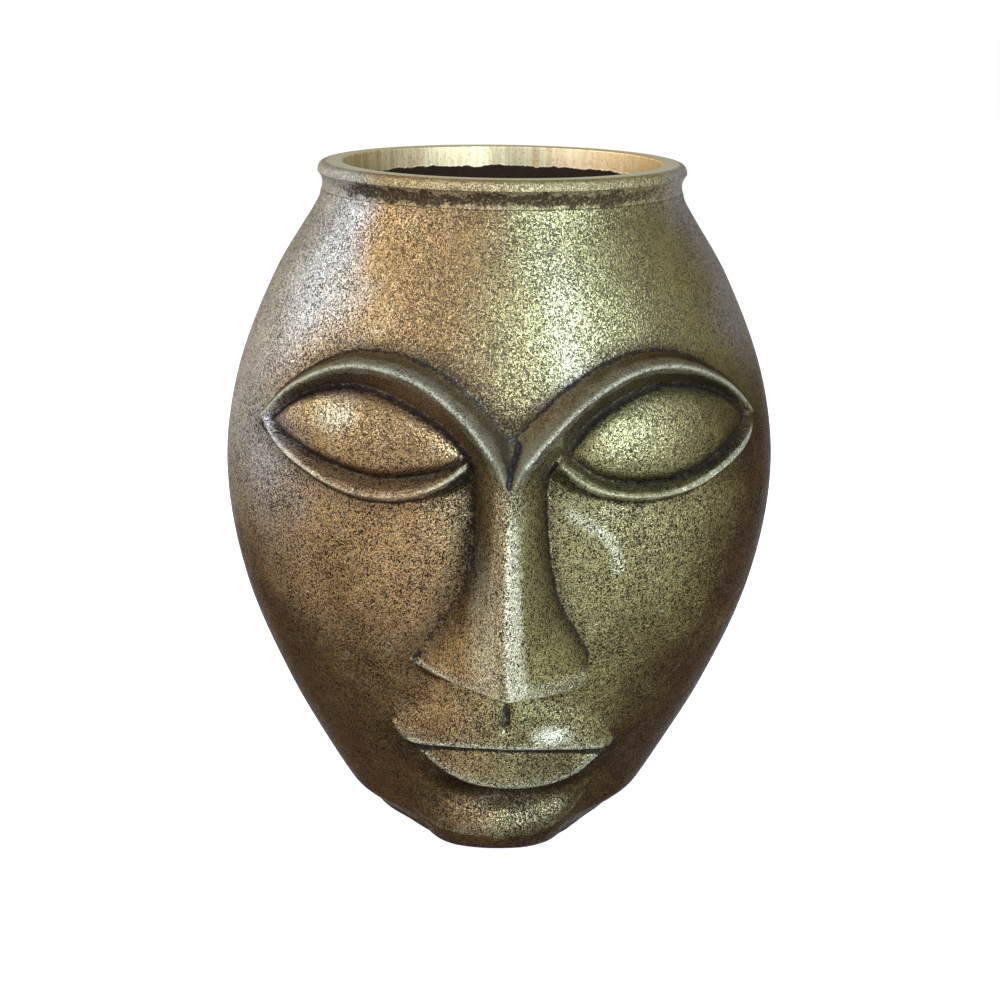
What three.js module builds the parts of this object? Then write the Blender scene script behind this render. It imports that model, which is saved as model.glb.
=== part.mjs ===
// A cast metal vase with a stylised sleeping face, as eight separate pieces: the face half and the back half
// of the casting, the turned mouth ring on top, the base plate let in below and four felt pads under it.
// Millimetres, +Z up, the table is z = 0, the origin is under the middle of the vase and the face looks along -Y.
import * as THREE from "three";

// Overall
const HEIGHT = 253; // table to the top of the mouth ring
const FIT_GAP = 0.3; // clearance round every piece that is let into or set on another
const WALL = 4.5; // thickness of the castings, which the core keeps behind the relief
const CORE_REACH = 12; // the core ignores relief that is narrower than this

// Felt pads
const PAD_THICKNESS = 1.5;
const PAD_RADIUS = 7;
const PAD_EDGE = 0.4; // softened lower edge
const PAD_SIDE_OFFSET = 24;
const PAD_FRONT_OFFSET = 13;
const PAD_BACK_OFFSET = 24;

// Base plate, and the ledge in the castings that it is pushed up against
const PLATE_THICKNESS = 4;
const PLATE_GAP = 0.6; // clearance round its edge
const LEDGE_WIDTH = 3;
const LEDGE_DRAFT = 1;

// Mouth ring
const RING_HEIGHT = 9.5; // what stands above the castings
const BORE_RADIUS = 57.5;
const LIP_WIDTH = 9; // from the bore to the outermost point of the lip
const LIP_LAND = 5; // flat top of the lip
const LIP_DROP = 5.2; // from the top down to the outermost point
const NECK_WALL = 7.1; // from the bore to the waist below the lip
const SPIGOT_WALL = 2.5;
const SPIGOT_DEPTH = 4;
const BORE_EDGE = 0.5; // softened upper edge of the bore
const SHOULDER_LEDGE = 0.7; // how far the castings stand out past the ring's waist

// Side seams: a tongue on the face casting laps behind the back casting
const TONGUE_REACH = 7;

const FOOT = PAD_THICKNESS + FIT_GAP; // underside of the castings and of the plate
const SHELL_TOP = HEIGHT - RING_HEIGHT;
const THROAT_RADIUS = BORE_RADIUS + SPIGOT_WALL + FIT_GAP;
const SHOULDER_RADIUS = BORE_RADIUS + NECK_WALL + SHOULDER_LEDGE;

// The castings are drawn between these two heights and stretch to the heights that they really stand at.
const DRAWN_FOOT = -1;
const DRAWN_TOP = 240.5;

// The vessel without its face: its reach to the side, front and back. Square 2 is an ellipse, more is fuller.
const STATIONS = [
  { y: DRAWN_FOOT, side: 47.3, front: 39.7, back: 47, square: 2.4 }, // foot
  { y: 25, side: 64.4, front: 54, back: 61, square: 2.05 }, // jaw
  { y: 60, side: 81.4, front: 71, back: 77, square: 2.2 }, // mouth
  { y: 100, side: 96, front: 87, back: 91, square: 2.2 }, // cheek
  { y: 140, side: 101.5, front: 94.5, back: 96.5, square: 2.2 }, // belly
  { y: 175, side: 96.5, front: 91.5, back: 92, square: 2.2 }, // brow
  { y: 210, side: 82.5, front: 79.5, back: 80, square: 2.1 }, // crown
  { y: 236.5, side: 66.4, front: 66.2, back: 66.2, square: 2 }, // shoulder
  { y: DRAWN_TOP, side: SHOULDER_RADIUS, front: SHOULDER_RADIUS, back: SHOULDER_RADIUS, square: 2 },
];
const JAW_PINCH = { depth: 7, bearing: 59, halfWidth: 38.5, fadesFrom: 0, fadesTo: 15 };

// The face is drawn on the wall as [bearing from the centre line in degrees, height, relief in mm].
const FACE_RADIUS = 90; // turns a bearing into a distance along the wall
const LEFT_BROW = [
  [-57.5, 169, 1.5], [-47.5, 182.5, 4.5], [-36, 191, 6], [-26.5, 191.5, 6.5], [-18, 187.5, 7], [-9.6, 177.5, 8],
  [-4.3, 166.5, 10],
];
const RIGHT_BROW = [
  [59.5, 170, 1.5], [49.6, 182, 4.5], [39, 190, 6], [30, 192, 6.5], [22, 189.5, 7], [12.8, 181.5, 8],
  [6, 171.5, 9], [2, 164, 10.5],
];
const NOSE_RIDGE = [
  [-1.2, 156, 13.5], [-1.5, 145.5, 15.5], [-1.7, 135, 18], [-1.7, 115, 23], [-1.4, 94, 27.5], [-0.8, 86, 28.5],
];
const LEFT_EYE_TOP = [
  [-54.8, 168.5, -2], [-47.5, 178, -4], [-38, 183, -5], [-29, 182, -5], [-21, 177.5, -5], [-13.6, 171, -4.5],
  [-9.2, 163.6, -4],
];
const LEFT_EYE_BOTTOM = [
  [-54.8, 168.5, -2], [-51, 165, -3.5], [-44.4, 160.8, -4.5], [-35.5, 157, -5], [-27.4, 155.4, -5], [-20, 157, -5],
  [-13.2, 159.8, -4.5], [-9.2, 163.6, -4],
];
const LEFT_LID = [
  [-57.5, 169, 1.5], [-50, 162.5, 3.5], [-42, 156.8, 4], [-33.5, 152.2, 4.5], [-26, 150.8, 4.5], [-18.2, 153, 4.5],
  [-12.6, 157.8, 4.5], [-10.4, 161.2, 3.8],
];
const RIGHT_EYE_TOP = [
  [56.8, 169, -2], [52.8, 175, -4], [45.7, 181, -5], [36, 184, -5], [28, 182.5, -5], [20, 177.5, -5],
  [14.9, 171.5, -5], [11.6, 164.5, -4],
];
const RIGHT_EYE_BOTTOM = [
  [56.8, 169, -2], [52.5, 163.5, -4], [43.6, 157, -5], [34, 153.5, -5], [25.6, 154, -5], [18, 157, -4.5],
  [11.6, 164.5, -4],
];
const RIGHT_LID = [
  [59.5, 170, 1.5], [54, 163, 3.5], [43.8, 156, 4.5], [34.5, 151.4, 4.5], [24, 151, 4.5], [15, 155, 4.5],
  [9.4, 162, 3.8],
];
const LEFT_NOSE_FOOT = [
  [-9, 157.5, -4.5], [-8.5, 150, -5], [-8.2, 138.5, -5], [-8.7, 128, -4.5], [-10.4, 119, -3.5], [-13.3, 110, -2.5],
  [-17, 100.5, -1.5], [-22.4, 88.5, 0],
];
const RIGHT_NOSE_FOOT = [
  [8.4, 163.6, 0.5], [7.4, 157, -4.5], [7.1, 147, -5], [7.6, 136, -5], [8.7, 124.6, -4.5], [10.8, 112.7, -3.5], [14.2, 103, -2],
  [18.2, 92.5, -0.5], [18.8, 89, 0],
];
const NOSE_BASE = [
  [-22.4, 88.5], [-16, 86.6], [-10, 85.8], [-3, 86], [2, 85.2], [7, 83.6], [12, 82.6], [16.5, 83.8], [18.8, 89],
];
const UPPER_LIP_TOP = [
  [-31.5, 60.4, 2.5], [-24.5, 66.5, 0.6], [-14, 72, 0.4], [0, 75, 0.2], [14, 70.5, 0.4], [25, 62, 0.6],
  [33.8, 50.8, 2.5],
];
const MOUTH = [
  [-31.5, 60.2, 2.5], [-28.1, 55.8, 6], [-24.5, 54, 7.5], [-15.2, 54.2, 8.5], [-6.5, 54, 9], [1.7, 53.4, 9],
  [13.2, 52.6, 9], [22.4, 51, 8.5], [28, 49.8, 7], [33.8, 50.6, 2.5],
];
const LOWER_LIP = [
  [-27.2, 54.6, 6], [-22, 47.9, 7.5], [-17.4, 42.4, 9], [-11, 37.8, 10], [-3.5, 35.6, 10.5], [6, 35, 10.5],
  [15.6, 36.7, 10], [22, 40.3, 9], [26, 44.6, 7.5], [30.5, 49, 6],
];
const CHIN = [
  [-38, 13, 0], [-30, 9.6, 3.5], [-20, 8.8, 6.5], [-8, 8.3, 8.3], [2, 8.1, 8.6], [11.4, 8.6, 8.3],
  [20.3, 11.3, 6.5], [28, 15.7, 3.5], [34, 22, 0],
];

// Slopes and depths of the carving
const BROW_SLOPE = 2.3; // forehead side of a brow ridge, mm per mm
const LID_SLOPE = 1.6; // cheek side of a lower lid
const LIP_SLOPE = 1.9; // below the lower lip
const CORNER_SLOPE = 2.6; // below the corners of the mouth
const CHIN_RISE = 14; // height over which the hollow comes out to the chin
const CHIN_FALL = 30; // height over which the chin would run back to the wall again
const FLANK_BEND = 1.15; // over 1 hollows the side of the nose and the underside of the brow
const UPPER_LIP_BEND = 0.8;
const LOWER_LIP_BEND = 0.85;
const NOSE_UNDERSIDE = 5; // height over which the nose runs back to the lip
const MOUTH_STEP = 1.3; // height over which the upper lip drops to the lower lip
const MOUTH_DEPTH = 3.2; // relief at the back of the mouth line
const EYE_SWELL = 7.6; // how far the closed eye swells out of its socket
const EYE_HALF_HEIGHT = 14; // where the swell is full
const CHEEK_HOLLOW = 17; // width of the slope from the cheek to the side of the nose
const PHILTRUM = { depth: 2.2, halfWidth: 3, low: 60.5, high: 73.5, run: 3 };
const LIP_HOLLOW = { depth: 5, y: 25.5, halfHeight: 10, halfWidth: 60 };
const FACE_TOP = 215; // the wall is plain above this height
const FACE_EDGE = 75; // and beyond this bearing

// Fineness of the meshes
const CREASE_STEP = 2.6; // along the carved edges
const FACE_STEP = 5; // between them
const PLAIN_STEP = 11;
const CARVED_EDGE = 63; // bearing and height within which the finer step is used
const CARVED_TOP = 206;
const GRID_BEARING = 6;
const ROW_STEP = 10.5;
const CURVE_STEPS = 4;
const RING_SEGMENTS = 60;
const PAD_SEGMENTS = 24;

const mix = THREE.MathUtils.lerp;
const clamp = THREE.MathUtils.clamp;
const smooth = THREE.MathUtils.smoothstep;
const radians = THREE.MathUtils.degToRad;
const degrees = THREE.MathUtils.radToDeg;
const bell = (x, halfWidth) => 1 - smooth(Math.abs(x), 0, halfWidth);
const backwards = (list) => [...list].reverse();
const last = (list) => list[list.length - 1];

function spread(from, to, step) {
  const count = Math.max(Math.round((to - from) / step), 1);
  return Array.from({ length: count + 1 }, (_, i) => mix(from, to, i / count));
}

// From a drawn height to the real one and back
const level = (y) => mix(FOOT, SHELL_TOP, (y - DRAWN_FOOT) / (DRAWN_TOP - DRAWN_FOOT));
const drawn = (z) => mix(DRAWN_FOOT, DRAWN_TOP, (z - FOOT) / (SHELL_TOP - FOOT));

// Smooth curve of one measure through the stations
function station(key, y) {
  const end = STATIONS.length - 1;
  const slope = (i) => {
    const a = STATIONS[Math.max(i - 1, 0)];
    const b = STATIONS[Math.min(i + 1, end)];
    return (b[key] - a[key]) / (b.y - a.y);
  };
  let i = 0;
  while (i < end - 1 && y > STATIONS[i + 1].y) i++;
  const a = STATIONS[i];
  const b = STATIONS[i + 1];
  const span = b.y - a.y;
  const t = (y - a.y) / span;
  const rise = t * t * (3 - 2 * t);
  const leave = t * (1 - t) * (1 - t);
  const arrive = t * t * (t - 1);
  return a[key] + (b[key] - a[key]) * rise + span * (leave * slope(i) + arrive * slope(i + 1));
}

// Distance of the plain wall from the axis, at a bearing in degrees with 0 at the face
function vesselRadius(bearing, y) {
  const angle = radians(bearing);
  const square = station("square", y);
  const across = Math.abs(Math.sin(angle)) / station("side", y);
  const along = Math.abs(Math.cos(angle)) / station(Math.cos(angle) > 0 ? "front" : "back", y);
  const pinch = bell(Math.abs(bearing) - JAW_PINCH.bearing, JAW_PINCH.halfWidth);
  const fade = 1 - smooth(y, JAW_PINCH.fadesFrom, JAW_PINCH.fadesTo);
  return (across ** square + along ** square) ** (-1 / square) - JAW_PINCH.depth * pinch * fade;
}

const alongWall = (bearing) => radians(bearing) * FACE_RADIUS;
const bearingAt = (x) => degrees(x / FACE_RADIUS);

// A drawn line as points on the flattened wall: x along the wall, y the drawn height and z the relief
function line(points, step = 1.5) {
  const knots = points.map(([bearing, y, relief = 0]) => new THREE.Vector3(alongWall(bearing), y, relief));
  const curve = new THREE.CatmullRomCurve3(knots, false, "centripetal");
  return curve.getSpacedPoints(Math.ceil(curve.getLength() / step));
}

// Distance from a place on the wall to a line, and the relief of the line there
function nearest(path, x, y) {
  let distance = Infinity;
  let relief = 0;
  for (let i = 1; i < path.length; i++) {
    const a = path[i - 1];
    const dx = path[i].x - a.x;
    const dy = path[i].y - a.y;
    const t = clamp(((x - a.x) * dx + (y - a.y) * dy) / (dx * dx + dy * dy || 1), 0, 1);
    const d = Math.hypot(x - a.x - t * dx, y - a.y - t * dy);
    if (d < distance) {
      distance = d;
      relief = mix(a.z, path[i].z, t);
    }
  }
  return { distance, relief };
}

// Relief of a surface spanned between two lines
function between(from, to, bend, x, y) {
  const a = nearest(from, x, y);
  const b = nearest(to, x, y);
  return mix(a.relief, b.relief, (a.distance / (a.distance + b.distance || 1)) ** bend);
}

// Height of a line that runs across the face, at a place along the wall
function heightOf(path, x) {
  let i = 1;
  while (i < path.length - 1 && path[i].x < x) i++;
  const a = path[i - 1];
  return mix(a.y, path[i].y, clamp((x - a.x) / (path[i].x - a.x), 0, 1));
}

function inside(area, x, y) {
  let odd = false;
  let a = last(area);
  for (const b of area) {
    if (a.y > y !== b.y > y && x < ((b.x - a.x) * (y - a.y)) / (b.y - a.y) + a.x) odd = !odd;
    a = b;
  }
  return odd;
}

// Each half of the face: its crest runs over the eye and down the nose, its foot under the brow and the nose
const noseBase = line(NOSE_BASE);
const ridge = line(NOSE_RIDGE);
const tipX = last(ridge).x;
const bridgeY = ridge[0].y;

function half(brow, eyeTop, eyeBottom, lid, noseFoot, nostril) {
  const over = line([...brow, NOSE_RIDGE[0]]).slice(0, -1);
  const crest = [...over, ...ridge];
  const foot = line([...eyeTop, ...noseFoot]);
  const top = line(eyeTop);
  const bottom = line(eyeBottom);
  const rim = line(lid);
  const rising = (path) => (path[0].x < last(path).x ? path : backwards(path));
  return {
    brow: over,
    crest,
    foot,
    rim,
    bottom,
    cheek: line(noseFoot),
    eyeTop: rising(top),
    eyeBottom: rising(bottom),
    flank: [...crest, ...nostril, ...backwards(foot)],
    eye: [...top, ...backwards(bottom)],
    pouch: [...rim, ...backwards(bottom)],
  };
}

const leftNostril = backwards(noseBase.filter((p) => p.x < tipX));
const rightNostril = noseBase.filter((p) => p.x > tipX);
const leftHalf = half(LEFT_BROW, LEFT_EYE_TOP, LEFT_EYE_BOTTOM, LEFT_LID, LEFT_NOSE_FOOT, leftNostril);
const rightHalf = half(RIGHT_BROW, RIGHT_EYE_TOP, RIGHT_EYE_BOTTOM, RIGHT_LID, RIGHT_NOSE_FOOT, rightNostril);
const halves = [leftHalf, rightHalf];
const flankRelief = (side, x, y) => between(side.foot, side.crest, FLANK_BEND, x, y);
for (const p of noseBase) p.z = flankRelief(p.x < tipX ? leftHalf : rightHalf, p.x, p.y);

const lipTop = line(UPPER_LIP_TOP);
const mouth = line(MOUTH);
const lowerLip = line(LOWER_LIP);
const chin = line(CHIN);

// The line at the back of the mouth, under the edge of the upper lip
function backOfMouth(path) {
  return path
    .filter((p) => p.x > lowerLip[0].x && p.x < last(lowerLip).x)
    .map((p) => new THREE.Vector3(p.x, p.y - MOUTH_STEP, MOUTH_DEPTH));
}
const mouthBack = backOfMouth(mouth);
const upperLipArea = [...lipTop, ...backwards(mouth)];
const lowerLipArea = [...mouthBack, ...backwards(lowerLip)];

function philtrumDepth(x, y) {
  const { depth, halfWidth, low, high, run } = PHILTRUM;
  return depth * bell(x, halfWidth) * smooth(y, low - run, low) * (1 - smooth(y, high - run, high));
}

// The soft form that the carving stands on
function ground(x, y) {
  let h = -LIP_HOLLOW.depth * bell(y - LIP_HOLLOW.y, LIP_HOLLOW.halfHeight) * bell(x, LIP_HOLLOW.halfWidth);
  for (const side of halves) {
    const crease = nearest(side.cheek, x, y);
    h += crease.relief * Math.max(1 - crease.distance / CHEEK_HOLLOW, 0);
  }
  const rise = y - heightOf(chin, x);
  h += nearest(chin, x, y).relief * (1 - smooth(Math.abs(rise), 0, rise > 0 ? CHIN_RISE : CHIN_FALL));
  return h - philtrumDepth(x, y);
}

function eyeRelief(side, x, y) {
  const high = heightOf(side.eyeTop, x);
  const low = heightOf(side.eyeBottom, x);
  const halfHeight = Math.max((high - low) / 2, 0.01);
  const q = clamp((y - (high + low) / 2) / halfHeight, -1, 1);
  const swell = EYE_SWELL * Math.min(halfHeight / EYE_HALF_HEIGHT, 1) ** 0.7;
  return nearest(side.bottom, x, y).relief + swell * Math.sqrt(1 - q * q);
}

// Relief inside one half's brow, nose side, eye and lower lid, or nothing outside them
function carvedHalf(side, x, y) {
  if (inside(side.flank, x, y)) return flankRelief(side, x, y);
  if (inside(side.eye, x, y)) return eyeRelief(side, x, y);
  if (inside(side.pouch, x, y)) return between(side.bottom, side.rim, 1, x, y);
  return undefined;
}

function underNose(x, y, base) {
  const edge = heightOf(noseBase, x);
  const beside = x < noseBase[0].x || x > last(noseBase).x;
  if (beside || y > edge || y < edge - NOSE_UNDERSIDE) return base;
  const brink = flankRelief(x < tipX ? leftHalf : rightHalf, x, edge);
  return Math.max(base, mix(brink, base, (edge - y) / NOSE_UNDERSIDE));
}

function mouthRelief(x, y, base) {
  if (inside(upperLipArea, x, y)) {
    return Math.max(base, between(lipTop, mouth, UPPER_LIP_BEND, x, y) - philtrumDepth(x, y));
  }
  if (inside(lowerLipArea, x, y)) return between(mouthBack, lowerLip, LOWER_LIP_BEND, x, y);
  const edge = heightOf(mouth, x);
  if (y > edge && x > mouth[0].x && x < last(mouth).x) return base;
  const upper = nearest(mouth, x, y);
  if (x > mouthBack[0].x && x < last(mouthBack).x && y > edge - MOUTH_STEP) {
    return mix(upper.relief, MOUTH_DEPTH, (edge - y) / MOUTH_STEP);
  }
  const lower = nearest(lowerLip, x, y);
  const corner = upper.relief - CORNER_SLOPE * upper.distance;
  return Math.max(base, lower.relief - LIP_SLOPE * lower.distance, corner);
}

// Height of the carved face over the plain vessel
function relief(x, y) {
  if (y > FACE_TOP || Math.abs(x) > alongWall(FACE_EDGE)) return 0;
  for (const side of halves) {
    const carved = carvedHalf(side, x, y);
    if (carved !== undefined) return carved;
  }
  let h = ground(x, y);
  for (const side of halves) {
    const crest = nearest(side.crest, x, y);
    const rim = nearest(side.rim, x, y);
    h = Math.max(h, rim.relief - LID_SLOPE * rim.distance);
    if (y > bridgeY) h = Math.max(h, crest.relief - BROW_SLOPE * crest.distance);
  }
  return mouthRelief(x, y, underNose(x, y, h));
}

// Triangulates places on the flattened wall so that the circle of no triangle holds another place
function triangulate(places) {
  const far = 1e4;
  const all = [...places, [-far, -far], [far, -far], [0, far]];
  const circled = (a, b, c) => {
    const [ax, ay] = all[a];
    const [bx, by] = [all[b][0] - ax, all[b][1] - ay];
    const [cx, cy] = [all[c][0] - ax, all[c][1] - ay];
    const area = 2 * (bx * cy - by * cx);
    const x = (cy * (bx * bx + by * by) - by * (cx * cx + cy * cy)) / area;
    const y = (bx * (cx * cx + cy * cy) - cx * (bx * bx + by * by)) / area;
    return { corners: [a, b, c], x: ax + x, y: ay + y, square: x * x + y * y };
  };
  let triangles = [circled(places.length, places.length + 1, places.length + 2)];
  places.forEach(([x, y], p) => {
    const rim = new Map();
    triangles = triangles.filter((t) => {
      if ((x - t.x) ** 2 + (y - t.y) ** 2 >= t.square) return true;
      t.corners.forEach((a, i) => {
        const b = t.corners[(i + 1) % 3];
        if (!rim.delete(b + "," + a)) rim.set(a + "," + b, [a, b]);
      });
      return false;
    });
    for (const [a, b] of rim.values()) triangles.push(circled(a, b, p));
  });
  return triangles.map((t) => t.corners).filter((t) => t.every((i) => i < places.length));
}

// Every few points of a line, so that their distance is about one step
function stepped(path) {
  let run = CREASE_STEP;
  return path.filter((p, i) => {
    run += i ? Math.hypot(p.x - path[i - 1].x, p.y - path[i - 1].y) : 0;
    if (run < CREASE_STEP) return false;
    run = 0;
    return true;
  });
}

// The line where a slope that falls away from another line comes down to the ground
function slopeFoot(path, slope, turn) {
  return path.slice(1).map((p, i) => {
    const along = new THREE.Vector2(p.x - path[i].x, p.y - path[i].y).normalize();
    const out = (turn * Math.max(p.z, 1)) / slope;
    return new THREE.Vector3(p.x - along.y * out, p.y + along.x * out, 0);
  });
}

// The edges that are cut into the wall at their own relief, and the lines at the foot of the slopes beside them
function carvedLines() {
  const lips = stepped(mouth);
  const lower = stepped(lowerLip);
  const base = stepped(noseBase);
  const edges = [stepped(ridge), base, lips, backOfMouth(lips), lower, stepped(lipTop)];
  const feet = [stepped(chin), slopeFoot(lower, LIP_SLOPE, -1), base.map((p) => p.clone().setY(p.y - NOSE_UNDERSIDE))];
  halves.forEach((side, i) => {
    const turn = i === 0 ? 1 : -1;
    const brow = stepped(side.brow);
    const rim = stepped(side.rim);
    edges.push(brow, rim, stepped(side.foot), stepped(side.bottom));
    feet.push(slopeFoot(brow, BROW_SLOPE, turn), slopeFoot(rim, LID_SLOPE, -turn));
  });
  return { edges, feet };
}

// Places on the flattened face wall, those of the carved edges with their relief: the border, the edges, the
// feet of the slopes and a lattice between them
function facePlaces(heights) {
  const edge = alongWall(90);
  const chinEdge = alongWall(last(CHIN)[0]);
  const bottom = [
    ...spread(-edge, -chinEdge, PLAIN_STEP),
    ...spread(-chinEdge, chinEdge, FACE_STEP).slice(1, -1),
    ...spread(chinEdge, edge, PLAIN_STEP),
  ].map((x) => [x, DRAWN_FOOT]);
  const top = spread(-edge, edge, PLAIN_STEP).map((x) => [x, DRAWN_TOP]);
  const places = [...bottom, ...top];
  for (const y of heights.slice(1, -1)) places.push([-edge, y], [edge, y]);
  const add = (clearance, x, y, ...h) => {
    const margin = clearance / 2;
    if (Math.abs(x) > edge - margin || y < DRAWN_FOOT + margin || y > DRAWN_TOP - margin) return;
    if (places.every(([a, b]) => Math.hypot(a - x, b - y) > clearance)) places.push([x, y, ...h]);
  };
  const { edges, feet } = carvedLines();
  for (const p of edges.flat()) add(0.9 * MOUTH_STEP, p.x, p.y, p.z);
  for (const p of feet.flat()) add(0.4 * CREASE_STEP, p.x, p.y);
  const carved = (x, y) => Math.abs(x) < alongWall(CARVED_EDGE) && y < CARVED_TOP;
  const lattice = (step, wanted) => {
    const rise = step * Math.sqrt(0.75);
    for (let row = 1; DRAWN_FOOT + row * rise < DRAWN_TOP; row++) {
      for (let x = -edge + (row % 2 ? 1 : 0.5) * step; x < edge; x += step) {
        const y = DRAWN_FOOT + row * rise;
        if (wanted(x, y)) add(0.7 * step, x, y);
      }
    }
  };
  lattice(FACE_STEP, carved);
  lattice(PLAIN_STEP, (x, y) => !carved(x, y));
  return { places, bottom, top };
}

// The lowest relief within reach, which the inside of the wall follows
function coreRelief(x, y) {
  let least = relief(x, y);
  for (const angle of spread(0, 2 * Math.PI, Math.PI / 5)) {
    for (const reach of [CORE_REACH / 2, CORE_REACH]) {
      least = Math.min(least, relief(x + reach * Math.cos(angle), y + reach * Math.sin(angle)));
    }
  }
  return least;
}

// Levels of the castings, each with the distance of the inner wall from the axis at a bearing
function wallRows() {
  const plateTop = drawn(FOOT + PLATE_THICKNESS + FIT_GAP);
  const ledge = drawn(FOOT + PLATE_THICKNESS + FIT_GAP + LEDGE_DRAFT);
  const throat = drawn(SHELL_TOP - SPIGOT_DEPTH - FIT_GAP);
  const pocket = (b) => vesselRadius(b, DRAWN_FOOT) - WALL;
  const rows = [
    { y: DRAWN_FOOT, inner: pocket },
    { y: plateTop, inner: pocket },
    { y: ledge, inner: (b) => pocket(b) - LEDGE_WIDTH },
  ];
  for (const y of spread(ledge, throat, ROW_STEP).slice(1, -1)) {
    const core = (b) => (Math.abs(b) < FACE_EDGE ? coreRelief(alongWall(b), y) : 0);
    rows.push({ y, inner: (b) => vesselRadius(b, y) - WALL + core(b) });
  }
  rows.push({ y: throat, inner: () => THROAT_RADIUS });
  rows.push({ y: DRAWN_TOP, inner: () => THROAT_RADIUS });
  return rows;
}

const wallPoint = (bearing, y, radius) =>
  new THREE.Vector3(radius * Math.sin(radians(bearing)), -radius * Math.cos(radians(bearing)), level(y));

// A point on a plane square to Y, on the right for side 1 and on the left for side -1
const planePoint = (side, plane, y, radius) =>
  new THREE.Vector3(side * Math.sqrt(radius ** 2 - plane ** 2), plane, level(y));

// Quads between neighbouring columns of points, as triangles that face right of the way from one to the next
function strips(columns) {
  const soup = [];
  for (let c = 1; c < columns.length; c++) {
    const [a, b] = [columns[c - 1], columns[c]];
    for (let r = 1; r < a.length; r++) soup.push(a[r - 1], b[r - 1], b[r], a[r - 1], b[r], a[r]);
  }
  return soup;
}

// The plain outside of a casting, with its lower and upper edge
function plainFace(columns) {
  return {
    soup: strips(columns),
    bottom: columns.map((column) => column[0]),
    top: columns.map(last),
  };
}

// The carved outside of the face casting
function carvedFace(columns, rows) {
  const { places, bottom, top } = facePlaces(rows.map((row) => row.y));
  const stand = ([x, y, h = relief(x, y)]) => {
    const b = bearingAt(x);
    const end = Math.abs(x) > alongWall(90) - 0.01;
    return end ? planePoint(Math.sign(x), 0, y, vesselRadius(90, y)) : wallPoint(b, y, vesselRadius(b, y) + h);
  };
  const points = places.map(stand);
  return {
    soup: triangulate(places).flatMap((corners) => corners.map((i) => points[i])),
    bottom: bottom.map(stand),
    top: top.map(stand),
  };
}

// One half of the casting, from the bearings of its outer and inner columns. At its sides the wall is stepped:
// the outer part ends on the plane `seam` and the inner part on the plane `lap`, and the step lies at `midWall`.
function casting({ outer, inner, seam, lap, midWall, face }) {
  const rows = wallRows();
  const onWall = (b, radius) => rows.map((row) => wallPoint(b, row.y, radius(row)));
  const onPlane = (side, plane, radius) => rows.map((row) => planePoint(side, plane, row.y, radius(row)));
  const from = Math.sign(Math.sin(radians(outer[0])));
  const outside = (row) => vesselRadius(90, row.y);
  const bearingOn = (plane, row) => 90 + degrees(Math.asin(plane / vesselRadius(90, row.y)));
  const step = (plane) => (row) => vesselRadius(bearingOn(plane, row), row.y) - midWall;
  const innerEnd = (row) => row.inner(bearingOn(lap, row));
  const skin = face(
    [
      onPlane(from, seam, outside),
      ...outer.slice(1, -1).map((b) => onWall(b, (row) => vesselRadius(b, row.y))),
      onPlane(-from, seam, outside),
    ],
    rows,
  );
  const lining = [
    onPlane(-from, seam, step(seam)),
    onPlane(-from, lap, step(lap)),
    onPlane(-from, lap, innerEnd),
    ...backwards(inner).map((b) => onWall(b, (row) => row.inner(b))),
    onPlane(from, lap, innerEnd),
    onPlane(from, lap, step(lap)),
    onPlane(from, seam, step(seam)),
  ];
  const soup = [
    ...skin.soup,
    ...strips([onPlane(-from, seam, outside), ...lining, onPlane(from, seam, outside)]),
  ];
  const bottomLoop = [...skin.bottom, ...lining.map((column) => column[0])];
  const topLoop = [...skin.top, ...lining.map(last)];
  for (const face of THREE.ShapeUtils.triangulateShape(bottomLoop, [])) {
    soup.push(...backwards(face).map((i) => bottomLoop[i]));
  }
  for (const face of THREE.ShapeUtils.triangulateShape(topLoop, [])) {
    soup.push(...face.map((i) => topLoop[i]));
  }
  return new THREE.BufferGeometry().setFromPoints(soup);
}

function faceCasting() {
  const bearings = spread(-90, 90, GRID_BEARING);
  return casting({
    outer: bearings,
    inner: bearings,
    seam: 0,
    lap: TONGUE_REACH,
    midWall: WALL / 2,
    face: carvedFace,
  });
}

function backCasting() {
  const least = vesselRadius(90, DRAWN_FOOT) - WALL - LEDGE_WIDTH;
  const lap = TONGUE_REACH + FIT_GAP;
  const clear = 90 + degrees(Math.asin(lap / least)) + GRID_BEARING / 2;
  return casting({
    outer: spread(90, 270, GRID_BEARING),
    inner: spread(clear, 360 - clear, GRID_BEARING),
    seam: FIT_GAP,
    lap,
    midWall: WALL / 2 - FIT_GAP,
    face: plainFace,
  });
}

// Turned about its own axis, from an outline of [radius, height] that runs up on the outside
function turned(points, segments) {
  return new THREE.LatheGeometry(points, segments).rotateX(Math.PI / 2);
}

function mouthRing() {
  const neck = BORE_RADIUS + NECK_WALL;
  const lip = BORE_RADIUS + LIP_WIDTH;
  const spigot = BORE_RADIUS + SPIGOT_WALL;
  const top = RING_HEIGHT - FIT_GAP;
  const outline = new THREE.Path();
  outline.moveTo(BORE_RADIUS, -SPIGOT_DEPTH);
  outline.lineTo(spigot, -SPIGOT_DEPTH);
  outline.lineTo(spigot, 0);
  outline.lineTo(neck, 0);
  outline.quadraticCurveTo(neck, (top - LIP_DROP) * 0.45, lip, top - LIP_DROP);
  outline.quadraticCurveTo(lip, top, BORE_RADIUS + LIP_LAND, top);
  outline.lineTo(BORE_RADIUS + BORE_EDGE, top);
  outline.lineTo(BORE_RADIUS, top - BORE_EDGE);
  outline.lineTo(BORE_RADIUS, -SPIGOT_DEPTH);
  return turned(outline.getPoints(CURVE_STEPS), RING_SEGMENTS);
}

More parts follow.
